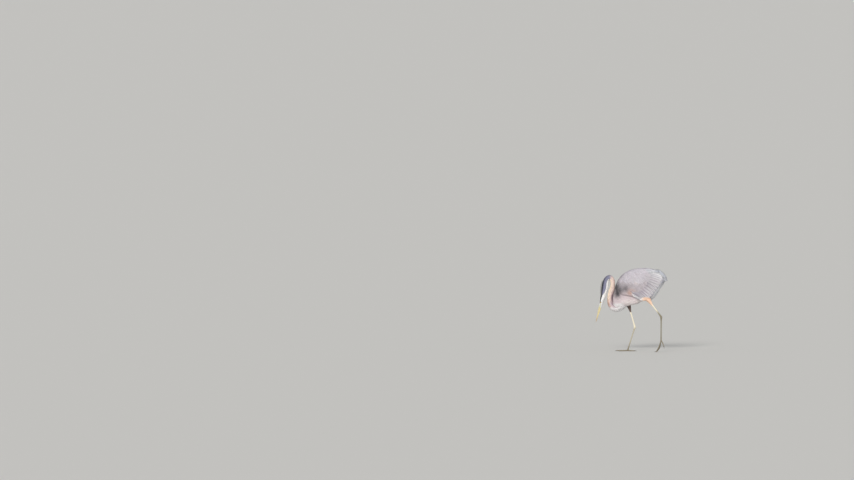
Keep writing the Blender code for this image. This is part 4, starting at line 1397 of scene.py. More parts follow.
def bare_places():
    """Skin points that no vane covers within the gap_reach of the sizes, one to each cell of
    gap_pitch: only on the body, and not on the wings' outer faces, which the quills cover."""
    sizes = bpy.context.scene.heron_sizes
    skin = bpy.data.objects["skin"].data
    place, normal = column(skin.vertices, "co"), column(skin.vertices, "normal")
    body = (place[:, 2] > 43 * CM) & (place[:, 0] > -13 * CM)
    open_side = body & (normal[:, 1] * np.sign(place[:, 1]) < 0.6)
    place, normal = place[open_side], normal[open_side]
    kinds = ("feathers", "coverts", "scapulars")
    vanes = [piece.data for piece in bpy.data.objects if any(kind in piece.name for kind in kinds)]
    points = np.concatenate([column(mesh.vertices, "co") for mesh in vanes])
    tree = point_tree(points[points[:, 2] > 41 * CM])
    bare = np.array([tree.find(p)[2] for p in place.tolist()]) > sizes.gap_reach
    place, normal = place[bare], normal[bare]
    cells = np.round(place / sizes.gap_pitch).astype(int)
    first = np.unique(cells, axis=0, return_index=True)[1]
    return place[first], normal[first]


def make_gap_feathers():
    """Short feathers rooted on the skin itself wherever the coats leave it bare, as in the crease
    between wing and breast. Each one runs rearwards along the skin: every station of its middle
    line is the nearest place of the skin, raised as in Coat.lay."""
    coat = Coat(61)
    root, normal = bare_places()
    way = np.array([1.0, 0.0, -0.25]) + coat.rng.normal(0, 0.1, root.shape)
    way = unit(way - normal * dot(way, normal)[:, None])
    length = coat.rng.uniform(0.016, 0.024, len(root))
    line = root[:, None] + way[:, None] * (length[:, None] * STEPS)[..., None]
    place, up = (k.reshape(line.shape) for k in nearest(coat.tree, line.reshape(-1, 3)))
    up = unit(up + up.mean(1, keepdims=True))
    height = -0.0006 + 0.0036 * (1 - (1 - STEPS) ** 1.6)
    centre = place + up * height[:, None]
    run = np.linalg.norm(np.diff(centre, axis=1), axis=-1).sum(1)
    fair = (run > 0.7 * length) & (run < 1.3 * length)
    root, centre, up, length = root[fair], centre[fair], up[fair], length[fair]
    # The patches lie on the body unrolled about its length: share of the length, share of the turn
    turn = np.arctan2(root[:, 1], root[:, 2] - 0.52) / TURN + 0.5
    share = np.stack([(root[:, 0] - root[:, 0].min()) / np.ptp(root[:, 0]), turn], -1)
    shape = look(0.46, 0.64, 0.13, 0.12, 0.16)
    coat.draw(centre, up, length * 0.17, 0.0003, shape, body_markings(root), within(share))
    settle(coat.make("gap_feathers", vane_material()), "plumage_body")


def make_tail_coat():
    """Twelve tail feathers fanned across the tail, with coverts over and under their roots."""
    c = palette()
    coat = Coat(51)
    count = 12
    steps = np.linspace(0, 1, 16)
    place = np.linspace(-0.9, 0.9, count)
    u = 1.3 + 4.75 * steps + 0 * place[:, None]
    point, _, _, up = touch(*TAIL_FACE, u, place[:, None] * (0.45 + 0.47 * steps))
    layer = (1 - np.abs(place)) * 1.6 + 0.2
    centre = point + up * ((layer[:, None] - 1.6) * MM * (0.3 + 0.7 * steps))[..., None]
    grey = mix(c.tail_grey, c.slate, np.full(count, 0.3))
    root_uv = np.stack([np.full(count, 0.2), 0.5 + place * 0.4], -1)
    shape = look(0.22, 0.3, 0.08, 0.42, 0.1, shaft=0.3, steps=steps)
    coat.draw(centre, up, np.full(count, 0.0125), 0.0006, shape, grey, root_uv, -0.12 * np.sign(place))
    pitch = lambda u: (0.011 + 0 * u, 0.009 + 0 * u)
    u, v = scatter(tail_surface, (0.1, 2.9), (-0.98, 0.98), pitch, coat.rng)
    length = np.interp(u, [0, 3], [32, 44]) * MM
    size = (length, length * 0.2, 0.0006, np.interp(np.abs(v), [0.6, 1.0], [0.004, 0.0005]), 0.0003)
    colour = mix(body_markings(tail_surface(u, v)), c.tail_grey, 0.7) * 0.92
    coat.lay(TAIL_FACE, u, v, rearwards(0.2), size, look(0.45, 0.4, 0.14, 0.22, 0.2), colour)
    u, v = scatter(tail_under, (0.1, 3.4), (-0.95, 0.95), pitch, coat.rng)
    colour = mix(c.tail_grey, c.white, coat.rng.uniform(0.3, 0.9, len(u)))
    size = (0.042, 0.0085, 0.0006, 0.003, 0.0004)
    under = (tail_under, TAIL_FACE[1], 1)
    coat.lay(under, u, v, rearwards(0.2), size, look(0.45, 0.5, 0.14, 0.2, 0.2), colour)
    settle(coat.make("tail_feathers", flight_material()), "plumage_tail", "tail")


def tail_under(u, v):
    """Lower face of the tail: the upper one mirrored in the plate's middle."""
    thick = spline(TAIL, u)[..., 3]
    swell = np.maximum(thick * np.sqrt(np.clip(1 - v**2, 0, 1)) ** 0.83 - 0.3, 0.0)
    _, _, _, normal = touch(*TAIL_FACE, u, v)
    return tail_surface(u, v) - normal * (2 * swell * CM)[..., None]


def make_thigh_coats():
    """Soft feathers down each thigh to the bare shank."""
    for side_name, seed in (("left", 61), ("right", 62)):
        coat = Coat(seed)
        surface = thigh_surface_of(side_name)
        pitch = spaced([0, 1], [5.6, 2.6], [4.6, 2.0])
        u, v = scatter(surface, (0.0, 0.985), (0, TURN), pitch, coat.rng)
        length = coat.varied(u, [0, 0.6, 1], [24, 15, 8])
        size = (length, length * 0.17, 0.0006, np.interp(u, [0, 1], [3.2, 0.8]) * MM, 0.0003)
        shape, colour = look(0.42, 0.75, 0.16, 0.12, 0.2), leg_markings(u, side_name)
        coat.lay((surface, (0, 1), 1), u, v, down_path, size, shape, colour, droop=0.001)
        piece = coat.make(f"thigh_feathers_{side_name}", vane_material())
        settle(piece, "plumage_thigh", f"thigh_{side_name}")


def make_crest():
    """Two long black plumes of the nape, each a narrow blade with loose side strands."""
    strands = 7
    steps = np.linspace(0, 1, 18)
    colour = palette().black * np.ones((strands, 1))
    shape = look(0.8, 0.75, 0.15, 0.05, 0.0, steps=steps)
    root_uv = np.stack([np.linspace(0.3, 0.7, strands), np.full(strands, 0.5)], -1)
    coat = Coat(71)
    rng = coat.rng
    for side_name, sense in (("left", -1), ("right", 1)):
        coat.groups = []
        reach = np.concatenate([[1.0], rng.uniform(0.45, 0.97, strands - 1)])
        line = spline(PLUME, steps * reach[:, None] * (len(PLUME) - 1))
        line[..., 1] = sense * (line[..., 1] + np.linspace(-0.12, 0.14, strands)[:, None] * steps)
        swerve = rng.uniform(-0.06, 0.1, strands)[:, None] * steps
        line[..., 0] += 0.45 * (steps * reach[:, None]) ** 2 - swerve
        centre = in_metres(line)
        normal = unit(np.cross(ACROSS, unit(np.gradient(centre, axis=1))))
        half = np.concatenate([[0.0017], rng.uniform(0.0004, 0.0008, strands - 1)])
        coat.draw(centre, normal, half, 0.0005, shape, colour, root_uv, -0.7 * sense)
        settle(coat.make(f"crest_plumes_{side_name}", flight_material()), "plumes", f"plume_{side_name}")


# ---- bill, eyes, scales and claws


def make_bill():
    """Both halves of the bill: a D-shaped section whose depth falls as 1 - s to the power 0.86 and
    half width as 1 - s to the power 0.9, with a ridge on top, a groove along each side that holds
    the nostril slit, and a gape that opens a little towards the base."""
    c = palette()
    base = np.array([BILL_BASE[0], 0.0, BILL_BASE[1]])
    tip = np.array([BILL_TIP[0], 0.0, BILL_TIP[1]])
    length = np.linalg.norm(tip - base)
    way = (tip - base) / length
    crown = np.array([way[2], 0.0, -way[0]])
    s = np.concatenate([[-0.035, -0.01], 1 - np.linspace(1, 0, 58) ** 1.25])[:, None]
    a = np.linspace(0, math.pi, 33)[None]
    inside = np.clip(s, 0, 1)
    tall = np.sin(a)
    fit = 1 - 0.06 * smooth(0.14 - s, 0, 0.14)
    sink = 1 - 0.16 * smooth(-s, 0.0, 0.035)
    groove = bell(a, 0.62, 0.13) + bell(a, math.pi - 0.62, 0.13)
    groove = groove * smooth(s, -0.02, 0.05) * smooth(0.62 - s, 0, 0.4)
    slit = (bell(a, 0.62, 0.07) + bell(a, math.pi - 0.62, 0.07)) * bell(s, 0.135, 0.035)
    ridge = bell(a, math.pi / 2, 0.2) * 0.035 * (1 - inside) ** 0.5
    width = (0.9 * (1 - inside) ** 0.9 + 0.07) * fit
    upper = mix(c.bill, c.bill_ridge, 0.75 * smooth(tall, 0.55, 0.95))
    lower = mix(c.bill_lower, c.bill, 0.3 * tall)
    for half_name, sense, part, pull, raised_by, colour, nostril in (
        ("upper", 1, BILL_UPPER_SHARE, 0.055 * groove + 0.1 * slit, 1, upper, 0.8),
        ("lower", -1, 1 - BILL_UPPER_SHARE, 0.03 * groove, 0.6, lower, 0.0),
    ):
        depth = (2.3 * (1 - inside) ** 0.86 + 0.1) * part * fit
        out = width * np.cos(a) * sink - np.sign(np.cos(a)) * pull
        up = depth * tall**0.8 * sink + (ridge - pull * 0.4) * raised_by
        lift = 0.08 * (1 - inside) + sense * 0.01
        rings = base + way * (s * length)[..., None] + crown * (lift + sense * up)[..., None]
        rings = rings + ACROSS * out[..., None]
        points, faces = tube(in_metres(rings))
        colours = painted(
            colour,
            (c.bill_lower, 0.5 * bell(tall, 0.0, 0.22)),
            (c.bill_tip, smooth(s, 0.45, 1.0) * 0.8),
            (c.black, nostril * np.clip(slit, 0, 1)),
            (c.lore, 0.6 * smooth(0.08 - s, 0, 0.08)),
            (c.bill_ridge * 0.3, 0.7 * bell(tall, 0.0, 0.05)),
        )
        colours = tube_colours(colours)
        piece = new_object(f"bill_horn_{half_name}", points, faces, horn_material(), colours=colours)
        settle(piece, "horn_bill", f"bill_{half_name}")


def eye_frame(sense):
    """Middle of the eyeball and the way it looks: sideways and a little towards the bill."""
    centre = metres(EYE_AT[0], sense * (EYE_AT[1] + 0.05), EYE_AT[2])
    axis = unit(np.array([-0.16, sense * 1.0, -0.3]))
    bill = unit(np.array([BILL_TIP[0] - BILL_BASE[0], 0.0, BILL_TIP[1] - BILL_BASE[1]]))
    along = unit(bill - axis * (bill @ axis))
    return centre, axis, along, np.cross(axis, along)


def make_eyes():
    """Eyeballs with a clear bulge in front: the radius grows by a bell of the angle from the axis.
    The Ring map holds that angle for pupil, iris and rim."""
    angle = np.linspace(0.02, math.pi - 0.02, 54)[:, None]
    turn = turns(56)[None]
    radius = EYE_RADIUS * CM * (0.985 + 0.045 * bell(angle, 0.0, 0.55))
    ring = np.append((angle + 0 * turn).ravel(), [0.0, math.pi]) / math.pi
    spin = np.append((turn / TURN + 0 * angle).ravel(), [0.0, 0.0])
    for side_name, sense in (("left", -1), ("right", 1)):
        centre, axis, along, across = eye_frame(sense)
        rings = centre + axis * (radius * np.cos(angle))[..., None]
        rings = rings + along * (radius * np.sin(angle) * np.cos(turn))[..., None]
        rings = rings + across * (radius * np.sin(angle) * np.sin(turn))[..., None]
        ring_map = {"Ring": np.stack([spin, ring], -1)}
        piece = new_object(f"eyeball_{side_name}", *tube(rings), eye_material(), ring_map)
        settle(piece, "eye", f"eye_{side_name}")


def make_lids():
    """A low rounded rim round each eye: a ring on the eyeball, longer towards the bill, thicker
    above, whose section is a small ellipse."""
    count, around = 72, 14
    turn = turns(count)[:, None]
    part = turns(around)[None]
    reach = 0.0053 + 0.0004 * np.cos(turn) ** 2 * np.sign(np.cos(turn)) + 0.0002 * np.cos(2 * turn)
    drop = np.sqrt(np.maximum((EYE_RADIUS * CM * 1.01) ** 2 - reach**2, 0))
    i, j = np.arange(count)[:, None] * around, np.arange(around)[None]
    n, m = (i + around) % (count * around), (j + 1) % around
    faces = halved(i + j, i + m, n + m, n + j)
    shapes = []
    for sense in (-1, 1):
        centre, axis, along, across = eye_frame(sense)
        thick = 0.0005 + 0.00015 * np.cos(turn - (0.5 * math.pi if sense > 0 else 1.5 * math.pi))
        radial = along * np.cos(turn)[..., None] + across * np.sin(turn)[..., None]
        rings = centre + axis * (drop + thick * 0.75 * np.sin(part))[..., None]
        points = (rings + radial * (reach + thick * 1.3 * np.cos(part))[..., None]).reshape(-1, 3)
        shapes.append((points, outward(points - points.mean(0), faces)))
    points, faces = joined(shapes)
    colours = np.broadcast_to(palette().lid, points.shape)
    settle(new_object("eyelids", points, faces, skin_material(), colours=colours), "leg_skin")


def scutes(centre, side, front, half, at, reach, spread, lift, tones, flat_floor=False):
    """Overlapping plates over the front of a leg or toe, as a shape and its colours each: plate k
    wraps the path from at[k] for reach, over plus or minus spread round it; its height over the
    skin is lift times the share along to the power 1.5, so that each ends proud of the next."""
    share = np.linspace(0, 1, len(centre))
    t = np.linspace(0, 1, 6)
    place = at[:, None] + reach * t
    turn = np.linspace(-spread, spread, 9)

    def read(values):
        return np.stack([np.interp(place, share, row) for row in values.T], -1)[:, :, None]

    middle, across, ahead = read(centre), unit(read(side)), unit(read(front))
    width = np.interp(place, share, half)[..., None]
    outer = width + (0.012 + lift * t**1.5)[:, None] - 0.09 * np.abs(turn / spread) ** 3
    ring = np.concatenate([outer, width - 0.12 + 0 * turn], -1)
    angle = np.concatenate([turn, turn[::-1]])
    points = middle + across * (ring * np.sin(angle))[..., None]
    points = points + ahead * (ring * np.cos(angle))[..., None]
    if flat_floor:
        points[..., 2] = np.maximum(points[..., 2], 0.02)
    plates = []
    for rings, tone in zip(points, tones):
        shape = tube(in_metres(rings))
        plates.append((*shape, np.broadcast_to(tone, shape[0].shape)))
    return plates


def make_scales():
    """The plates of shins and toes: broad overlapping ones down the front of each shin and along
    the top of each toe."""
    foot = palette().foot
    rng = np.random.default_rng(81)
    plates = []
    for side_name in LEGS:
        _, ankle, joint = leg_points(side_name)
        share = np.linspace(0, 1, 120)
        _, side, front = leg_frame(ankle, joint)
        front = -front if front[0] > 0 else front
        centre = between(ankle, joint, share)
        at = np.linspace(0.035, 0.93, 44)
        tones = shin_colour(side_name, at) * rng.uniform(0.86, 1.1, (44, 1))
        ways = side + 0 * centre, front + 0 * centre
        plates += scutes(centre, *ways, table(SHIN, share), at, 0.031, 1.45, 0.03, tones)
        for name in TOES:
            centre, side, up, _, half, _ = toe(side_name, name, 60)
            count = int(TOES[name][1] / 0.42)
            at = np.linspace(0.05, 0.93, count)
            tones = foot * rng.uniform(0.84, 1.12, (count, 1))
            plates += scutes(centre, side, up, half, at, 1.45 / count, 1.2, 0.024, tones, True)
    points, faces = joined([plate[:2] for plate in plates])
    colours = np.vstack([plate[2] for plate in plates])
    settle(new_object("leg_scales", points, faces, scale_material(), colours=colours), "leg_skin")


def make_claws():
    """Curved claws: half size falls as 1 - s to the power 0.8 along an arched line from the toe's end."""
    shapes, nodes = [], []
    share = np.linspace(0, 1, 22)
    for side_name in LEGS:
        for name, (_, _, length) in TOES.items():
            centre, _, _, _, _, ahead = toe(side_name, name)
            start = centre[-1] - ahead[-1] * 0.3
            if side_name == "right":
                start[2] = 0.3
            line = start + ahead[-1] * (share * length)[:, None]
            line[:, 2] += 0.16 * np.sin(math.pi * share * 0.9) * length / 1.6
            if side_name == "right" or name == "middle":
                line[:, 2] -= (start[2] - 0.05) * share**1.5
            half = 0.24 * (1 - share) ** 0.8 + 0.02
            way = unit(np.gradient(line, axis=0))
            side = unit(np.cross(way, UP))
            rings = sweep(line, side, np.cross(side, way), half * 0.8, half, 16)
            rings[..., 2] = np.maximum(rings[..., 2], 0.0)
            shapes.append(tube(rings))
            nodes.append(f"claw_{name}_{side_name}")
    points, faces = joined(shapes)
    colours = np.broadcast_to(palette().claw, points.shape)
    settle(new_object("claws", points, faces, claw_material(), colours=colours), "claw", *nodes)


# ---- materials


def add_node(tree, kind, settings=None, inputs=None):
    """One shader node with its settings, and its inputs set to values or linked to outputs."""
    made = tree.nodes.new("ShaderNode" + kind)
    for name, value in (settings or {}).items():
        setattr(made, name, value)
    for name, value in (inputs or {}).items():
        if isinstance(value, bpy.types.NodeSocket):
            tree.links.new(value, made.inputs[name])
        else:
            made.inputs[name].default_value = value
    return made


def material(name):
    """Makes a function that fills a node tree give the material of this name, filled only once."""

    def wrapped(fill):
        @wraps(fill)
        def give():
            made = bpy.data.materials.get(name)
            if made is None:
                made = bpy.data.materials.new(name)
                made.use_nodes = True
                made.node_tree.nodes.clear()
                fill(made.node_tree)
            return made

        return give

    return wrapped


def maths(tree, operation, *values):
    """The result of a sum."""
    return add_node(tree, "Math", {"operation": operation}, dict(enumerate(values))).outputs[0]


def ranged(tree, value, low, high, start=0.0, end=1.0):
    """A value that runs from start to end, made to run from low to high."""
    ends = {"From Min": start, "From Max": end, "To Min": low, "To Max": high}
    return add_node(tree, "MapRange", inputs={"Value": value, **ends}).outputs["Result"]


def scaled(tree, colour, share):
    """A colour times a value."""
    inputs = {0: colour, "Scale": share}
    return add_node(tree, "VectorMath", {"operation": "SCALE"}, inputs).outputs["Vector"]


def noise(tree, place, scale, detail):
    """Soft noise, with scale waves to the metre."""
    inputs = {"Vector": place, "Scale": scale, "Detail": detail}
    return add_node(tree, "TexNoise", inputs=inputs).outputs["Fac"]


def bump(tree, height, strength, distance):
    """The normals of a surface raised by a height."""
    inputs = {"Height": height, "Strength": strength, "Distance": distance}
    return add_node(tree, "Bump", inputs=inputs).outputs["Normal"]


def own_place(tree):
    """Places in the object's own coordinates."""
    return add_node(tree, "TexCoord").outputs["Object"]


def markings(tree):
    """The colours of the points."""
    return add_node(tree, "VertexColor", {"layer_name": "Markings"}).outputs["Color"]


def mottled(tree, scale, low, high):
    """The markings, made lighter and darker by noise between two factors; the places; the noise."""
    marks, place = markings(tree), own_place(tree)
    grain = noise(tree, place, scale, 3.0)
    return scaled(tree, marks, ranged(tree, grain, low, high, 0.3, 0.7)), place, grain


def finish_shader(tree, colour, roughness, normal, **values):
    """The Principled shader with its output; the plain numbers go straight onto its sockets."""
    inputs = {"Base Color": colour, "Roughness": roughness}
    shader = add_node(tree, "BsdfPrincipled", inputs=inputs)
    for name, value in values.items():
        shader.inputs[name.replace("_", " ")].default_value = value
    if normal is not None:
        tree.links.new(normal, shader.inputs["Normal"])
    add_node(tree, "OutputMaterial", inputs={"Surface": shader.outputs["BSDF"]})


def barbs(tree, pitch_count):
    """Fine slanting lines across a vane, made from its own map: they give the silky grain of barbs."""
    place = add_node(tree, "UVMap", {"uv_map": "Barbs"}).outputs["UV"]
    parts = add_node(tree, "SeparateXYZ", inputs={"Vector": place})
    off = maths(tree, "ABSOLUTE", maths(tree, "SUBTRACT", parts.outputs["X"], 0.5))
    slant = maths(tree, "MULTIPLY_ADD", off, -0.35, parts.outputs["Y"])
    return maths(tree, "SINE", maths(tree, "MULTIPLY", slant, pitch_count * TURN)), off


def feather_nodes(tree, pitch_count, roughness, shaft):
    """Keratin vanes: matt and silky, with fine barbs to each side of a slightly darker shaft."""
    # Mottling about 8 mm wide, as the light catches groups of barbs
    colour, _, grain = mottled(tree, 120.0, 0.92, 1.07)
    wave, off = barbs(tree, pitch_count)
    colour = scaled(tree, colour, ranged(tree, wave, 0.97, 1.02, -1.0))
    if shaft:
        colour = scaled(tree, colour, ranged(tree, off, 0.62, 1.0, 0.012, 0.035))
    rough = ranged(tree, grain, roughness - 0.06, roughness + 0.06)
    # Barbs stand less than a tenth of a millimetre proud
    silk = {"Specular_IOR_Level": 0.32, "Sheen_Weight": 0.12, "Sheen_Roughness": 0.5}
    finish_shader(tree, colour, rough, bump(tree, wave, 0.2, 0.00006), **silk)


@material("feather_keratin_soft")
def vane_material(tree):
    """Contour feathers: soft keratin barbs that hold no sharp light."""
    feather_nodes(tree, 24, 0.68, False)


@material("feather_keratin_stiff")
def flight_material(tree):
    """Flight feathers: closer, stiffer vanes with a satin look and a dark shaft."""
    feather_nodes(tree, 60, 0.52, True)


@material("bird_skin_scaled")
def skin_material(tree):
    """Bird skin: fine many-sided scales about 1.8 mm wide on the bare legs, dull and dry."""
    colour, place, grain = mottled(tree, 260.0, 0.86, 1.1)
    cells = {"Vector": place, "Scale": 550.0}
    cells = add_node(tree, "TexVoronoi", {"feature": "DISTANCE_TO_EDGE"}, cells)
    seam = ranged(tree, cells.outputs["Distance"], 0.88, 1.0, 0.0, 0.12)
    colour, rough = scaled(tree, colour, seam), ranged(tree, grain, 0.5, 0.66)
    finish_shader(tree, colour, rough, bump(tree, seam, 0.9, 0.0008), Specular_IOR_Level=0.4)


@material("facial_skin")
def face_material(tree):
    """Bare skin of the face: smooth, faintly pored, with a soft waxy gleam."""
    # Mottling about 4 mm wide, pores of a third of a millimetre
    colour, place, grain = mottled(tree, 250.0, 0.93, 1.05)
    pores = noise(tree, place, 3000.0, 2.0)
    rough = ranged(tree, grain, 0.42, 0.56)
    wax = {"Specular_IOR_Level": 0.42, "Subsurface_Weight": 0.1, "Subsurface_Scale": 0.001}
    finish_shader(tree, colour, rough, bump(tree, pores, 0.4, 0.0001), **wax)


@material("leg_plate_keratin")
def scale_material(tree):
    """Horny leg plates: smoother than the skin between them, with a dull wet-stone gleam."""
    colour, _, grain = mottled(tree, 400.0, 0.84, 1.12)
    rough = ranged(tree, grain, 0.36, 0.52)
    finish_shader(tree, colour, rough, bump(tree, grain, 0.3, 0.0002), Specular_IOR_Level=0.5)


@material("bill_horn")
def horn_material(tree):
    """Bill horn: growth lines run along it, with worn satin gloss."""
    marks, place = markings(tree), own_place(tree)
    # Growth lines about 0.8 mm apart and 15 mm long, laid along the bill
    lean = math.atan2(BILL_TIP[0] - BILL_BASE[0], BILL_TIP[1] - BILL_BASE[1])
    lines = {"Vector": place, "Rotation": (0.0, -lean, 0.0), "Scale": (1250.0, 1250.0, 65.0)}
    grain = noise(tree, add_node(tree, "Mapping", inputs=lines).outputs["Vector"], 1.0, 4.0)
    colour = scaled(tree, marks, ranged(tree, grain, 0.88, 1.08, 0.3, 0.7))
    rough = ranged(tree, grain, 0.26, 0.42)
    gloss = {"IOR": 1.54, "Coat_Weight": 0.15, "Coat_Roughness": 0.2}
    finish_shader(tree, colour, rough, bump(tree, grain, 0.2, 0.0002), **gloss)


@material("claw_keratin")
def claw_material(tree):
    """Claw keratin: dark brown, smooth and a little shiny, paler where it is scratched."""
    colour, _, grain = mottled(tree, 700.0, 0.7, 1.5)
    rough = ranged(tree, grain, 0.25, 0.42)
    finish_shader(tree, colour, rough, bump(tree, grain, 0.15, 0.0002), IOR=1.54)


@material("wet_eye")
def eye_material(tree):
    """Living eye: black pupil, yellow iris with fine spokes, dark rim, all under a wet clear coat."""
    iris = palette().iris
    place = add_node(tree, "UVMap", {"uv_map": "Ring"}).outputs["UV"]
    parts = add_node(tree, "SeparateXYZ", inputs={"Vector": place})
    ramp = add_node(tree, "ValToRGB", inputs={"Fac": parts.outputs["Y"]})
    dark = (0.004, 0.004, 0.005)
    stops = (
        (0.0, dark),
        (0.118, dark),
        (0.128, iris * 0.5),
        (0.155, iris),
        (0.25, iris * 0.95),
        (0.295, iris * 0.5),
        (0.31, dark),
        (1.0, (0.05, 0.04, 0.03)),
    )
    band = ramp.color_ramp
    while len(band.elements) < len(stops):
        band.elements.new(0.5)
    for element, (at, colour) in zip(band.elements, stops):
        element.position = at
        element.color = (*colour, 1.0)
    spokes = add_node(tree, "Mapping", inputs={"Vector": place, "Scale": (90.0, 6.0, 1.0)})
    grain = noise(tree, spokes.outputs["Vector"], 1.0, 2.0)
    colour = scaled(tree, ramp.outputs["Color"], ranged(tree, grain, 0.8, 1.15, 0.3, 0.7))
    finish_shader(tree, colour, 0.12, None, IOR=1.376, Coat_Weight=1.0, Coat_Roughness=0.02)


@material("matt_studio_paint")
def floor_material(tree):
    """Matt painted studio floor: even and pale, with the slightest grain."""
    paint = tuple(bpy.context.scene.heron_stage.floor_colour)
    # Roller grain about 3 mm wide
    grain = noise(tree, own_place(tree), 330.0, 2.0)
    colour = scaled(tree, paint, ranged(tree, grain, 0.985, 1.015))
    finish_shader(tree, colour, 0.85, None, Specular_IOR_Level=0.2)


# ---- stage


def placed(name, data, way=None, axis="Z"):
    """An object of the scene, one axis of which points the given way."""
    made = bpy.data.objects.new(name, data)
    if way is not None:
        made.rotation_mode = "QUATERNION"
        made.rotation_quaternion = Vector(way).to_track_quat(axis, "Y")
    bpy.context.scene.collection.objects.link(made)
    return made


def add_sun(name, strength, spread, way):
    """Parallel light that comes from the given way."""
    lamp = bpy.data.lights.new(name, "SUN")
    lamp.energy = strength
    lamp.angle = spread
    placed(name, lamp, way)
    return lamp


def make_stage():
    """A wide pale floor, an even sky, a soft sun to the right of the view and a long lens far off."""
    scene = bpy.context.scene
    stage = scene.heron_stage
    size = stage.floor_size / 2
    mesh = bpy.data.meshes.new("floor")
    corners = [(-size, -size, 0.0), (size, -size, 0.0), (size, size, 0.0), (-size, size, 0.0)]
    mesh.from_pydata(corners, [], [(0, 1, 2, 3)])
    mesh.materials.append(floor_material())
    floor = placed("floor", mesh)

    world = bpy.data.worlds.new("even_sky")
    world.use_nodes = True
    sky = world.node_tree.nodes["Background"]
    sky.inputs["Color"].default_value = (*stage.sky_colour, 1.0)
    sky.inputs["Strength"].default_value = stage.sky_strength
    scene.world = world

    turn, rise = stage.view_turn, stage.view_rise
    right = np.array([math.cos(turn), math.sin(turn), 0.0])
    back = np.array([math.sin(turn) * math.cos(rise), -math.cos(turn) * math.cos(rise), math.sin(rise)])
    high = right * -0.25 + back * 0.95 + UP * 0.42
    sun = add_sun("soft_sun", stage.sun_strength, stage.sun_spread, high)
    sun.color = stage.sun_colour
    add_sun("low_fill", stage.fill_strength, math.radians(60), right * 0.3 + back + UP * 0.12)

    lens = bpy.data.cameras.new("long_lens")
    lens.sensor_width = 36.0
    lens.lens = lens.sensor_width * stage.view_distance / stage.view_width
    lens.clip_end = stage.floor_size
    camera = placed("long_lens", lens, -back, "-Z")
    camera.location = right * stage.aim_along + UP * stage.aim_height + back * stage.view_distance
    scene.camera = camera
    scene.view_settings.view_transform = "Standard"


# ---- add-on


def tint(name, code, description):
    """A colour of the panel, its default given as an sRGB hex value."""
    limits = {"size": 3, "min": 0.0, "max": 1.0, "subtype": "COLOR"}
    value = tuple(linear(code))
    return FloatVectorProperty(name=name, description=description, default=value, **limits)


def number(name, description, default, **more):
    """A number of the panel."""
    return FloatProperty(name=name, description=description, default=default, **more)


LENGTH, ANGLE = {"unit": "LENGTH"}, {"subtype": "ANGLE"}


class HeronSizes(bpy.types.PropertyGroup):
    """Sizes of the skin and of the feathers that fill its bare places."""

    skin_voxel: number("Skin voxel", "Edge of the skin's even squares", 0.0018, min=0.0012, **LENGTH)
    skin_share: number("Skin share", "Share of the skin's triangles that is kept", 0.45, min=0.1, max=1.0)
    gap_reach: number("Gap reach", "Distance from any vane past which skin is bare", 0.0024, **LENGTH)
    gap_pitch: number("Gap pitch", "Spacing of the feathers that fill the gaps", 0.0042, **LENGTH)


class HeronColours(bpy.types.PropertyGroup):
    """Colours of plumage, bill, eyes and legs."""

    white: tint("White", "#F3F3F4", "Head, throat stripe and underside plumes")
    black: tint("Black", "#1A191F", "Head stripe and crest plumes")
    streak: tint("Streak", "#4C434A", "Dark streaks on the foreneck plumes")
    # Grey of the hanging neck, painted blue-grey as the shade on its outer side
    neck_blue_shade: tint("Neck blue", "#8788A2", "Hanging length of the neck")
    # Dark nape plumes, painted darker still as shade
    nape: tint("Nape", "#1E202E", "Back of the neck towards the head")
    neck_pink: tint("Neck pink", "#E3CCC2", "Rising length of the neck")
    neck_cream: tint("Neck cream", "#F5E2CC", "Front of the rising length")
    # Also painted as shade on the rear of the rising length
    neck_mauve: tint("Neck mauve", "#8F7983", "Back of the rising length and the low fold")
    chest: tint("Chest", "#D3C4C9", "Breast feathers")
    belly: tint("Belly", "#ECE1E1", "Belly feathers")
    body_grey: tint("Body grey", "#A9A1A8", "Wing coverts and flanks")
    back_grey: tint("Back grey", "#BEB9C3", "Back and scapular plumes")
    tail_grey: tint("Tail grey", "#C4C8D2", "Rump, tertials and tail")
    slate: tint("Slate", "#8C8899", "Flight feathers")
    # Black epaulette, painted darker still as shade in front of the wing
    shoulder: tint("Shoulder", "#221D27", "Dark patch in front of the wing")
    rufous: tint("Rufous", "#C2957F", "Bend of the wing")
    blotch: tint("Blotch", "#D9CFD2", "Pale coverts and plume tips")
    thigh: tint("Thigh", "#EAC4A9", "Feathered thigh")
    # Painted shade: the far thigh's rufous darkened as if it lay in shadow
    thigh_painted_shade: tint("Far thigh", "#4C3428", "Feathered thigh on the shaded side")
    shank: tint("Shank", "#EBE3CC", "Bare leg above the ankle")
    leg: tint("Leg", "#88826F", "Ankle and shin")
    foot: tint("Foot", "#857D6C", "Lower shin and toes")
    claw: tint("Claw", "#3A322B", "Claws")
    bill: tint("Bill", "#DCCFA6", "Sides of the bill")
    bill_lower: tint("Lower bill", "#E3D4A0", "Lower half and cutting edges")
    bill_ridge: tint("Bill ridge", "#A99A78", "Ridge of the upper half")
    bill_tip: tint("Bill tip", "#B98F5E", "Tip of the bill")
    lore: tint("Lore", "#C8C6A2", "Bare skin between eye and bill")
    lid: tint("Eyelid", "#5C6064", "Rim of the eye")
    iris: tint("Iris", "#F2C531", "Iris")


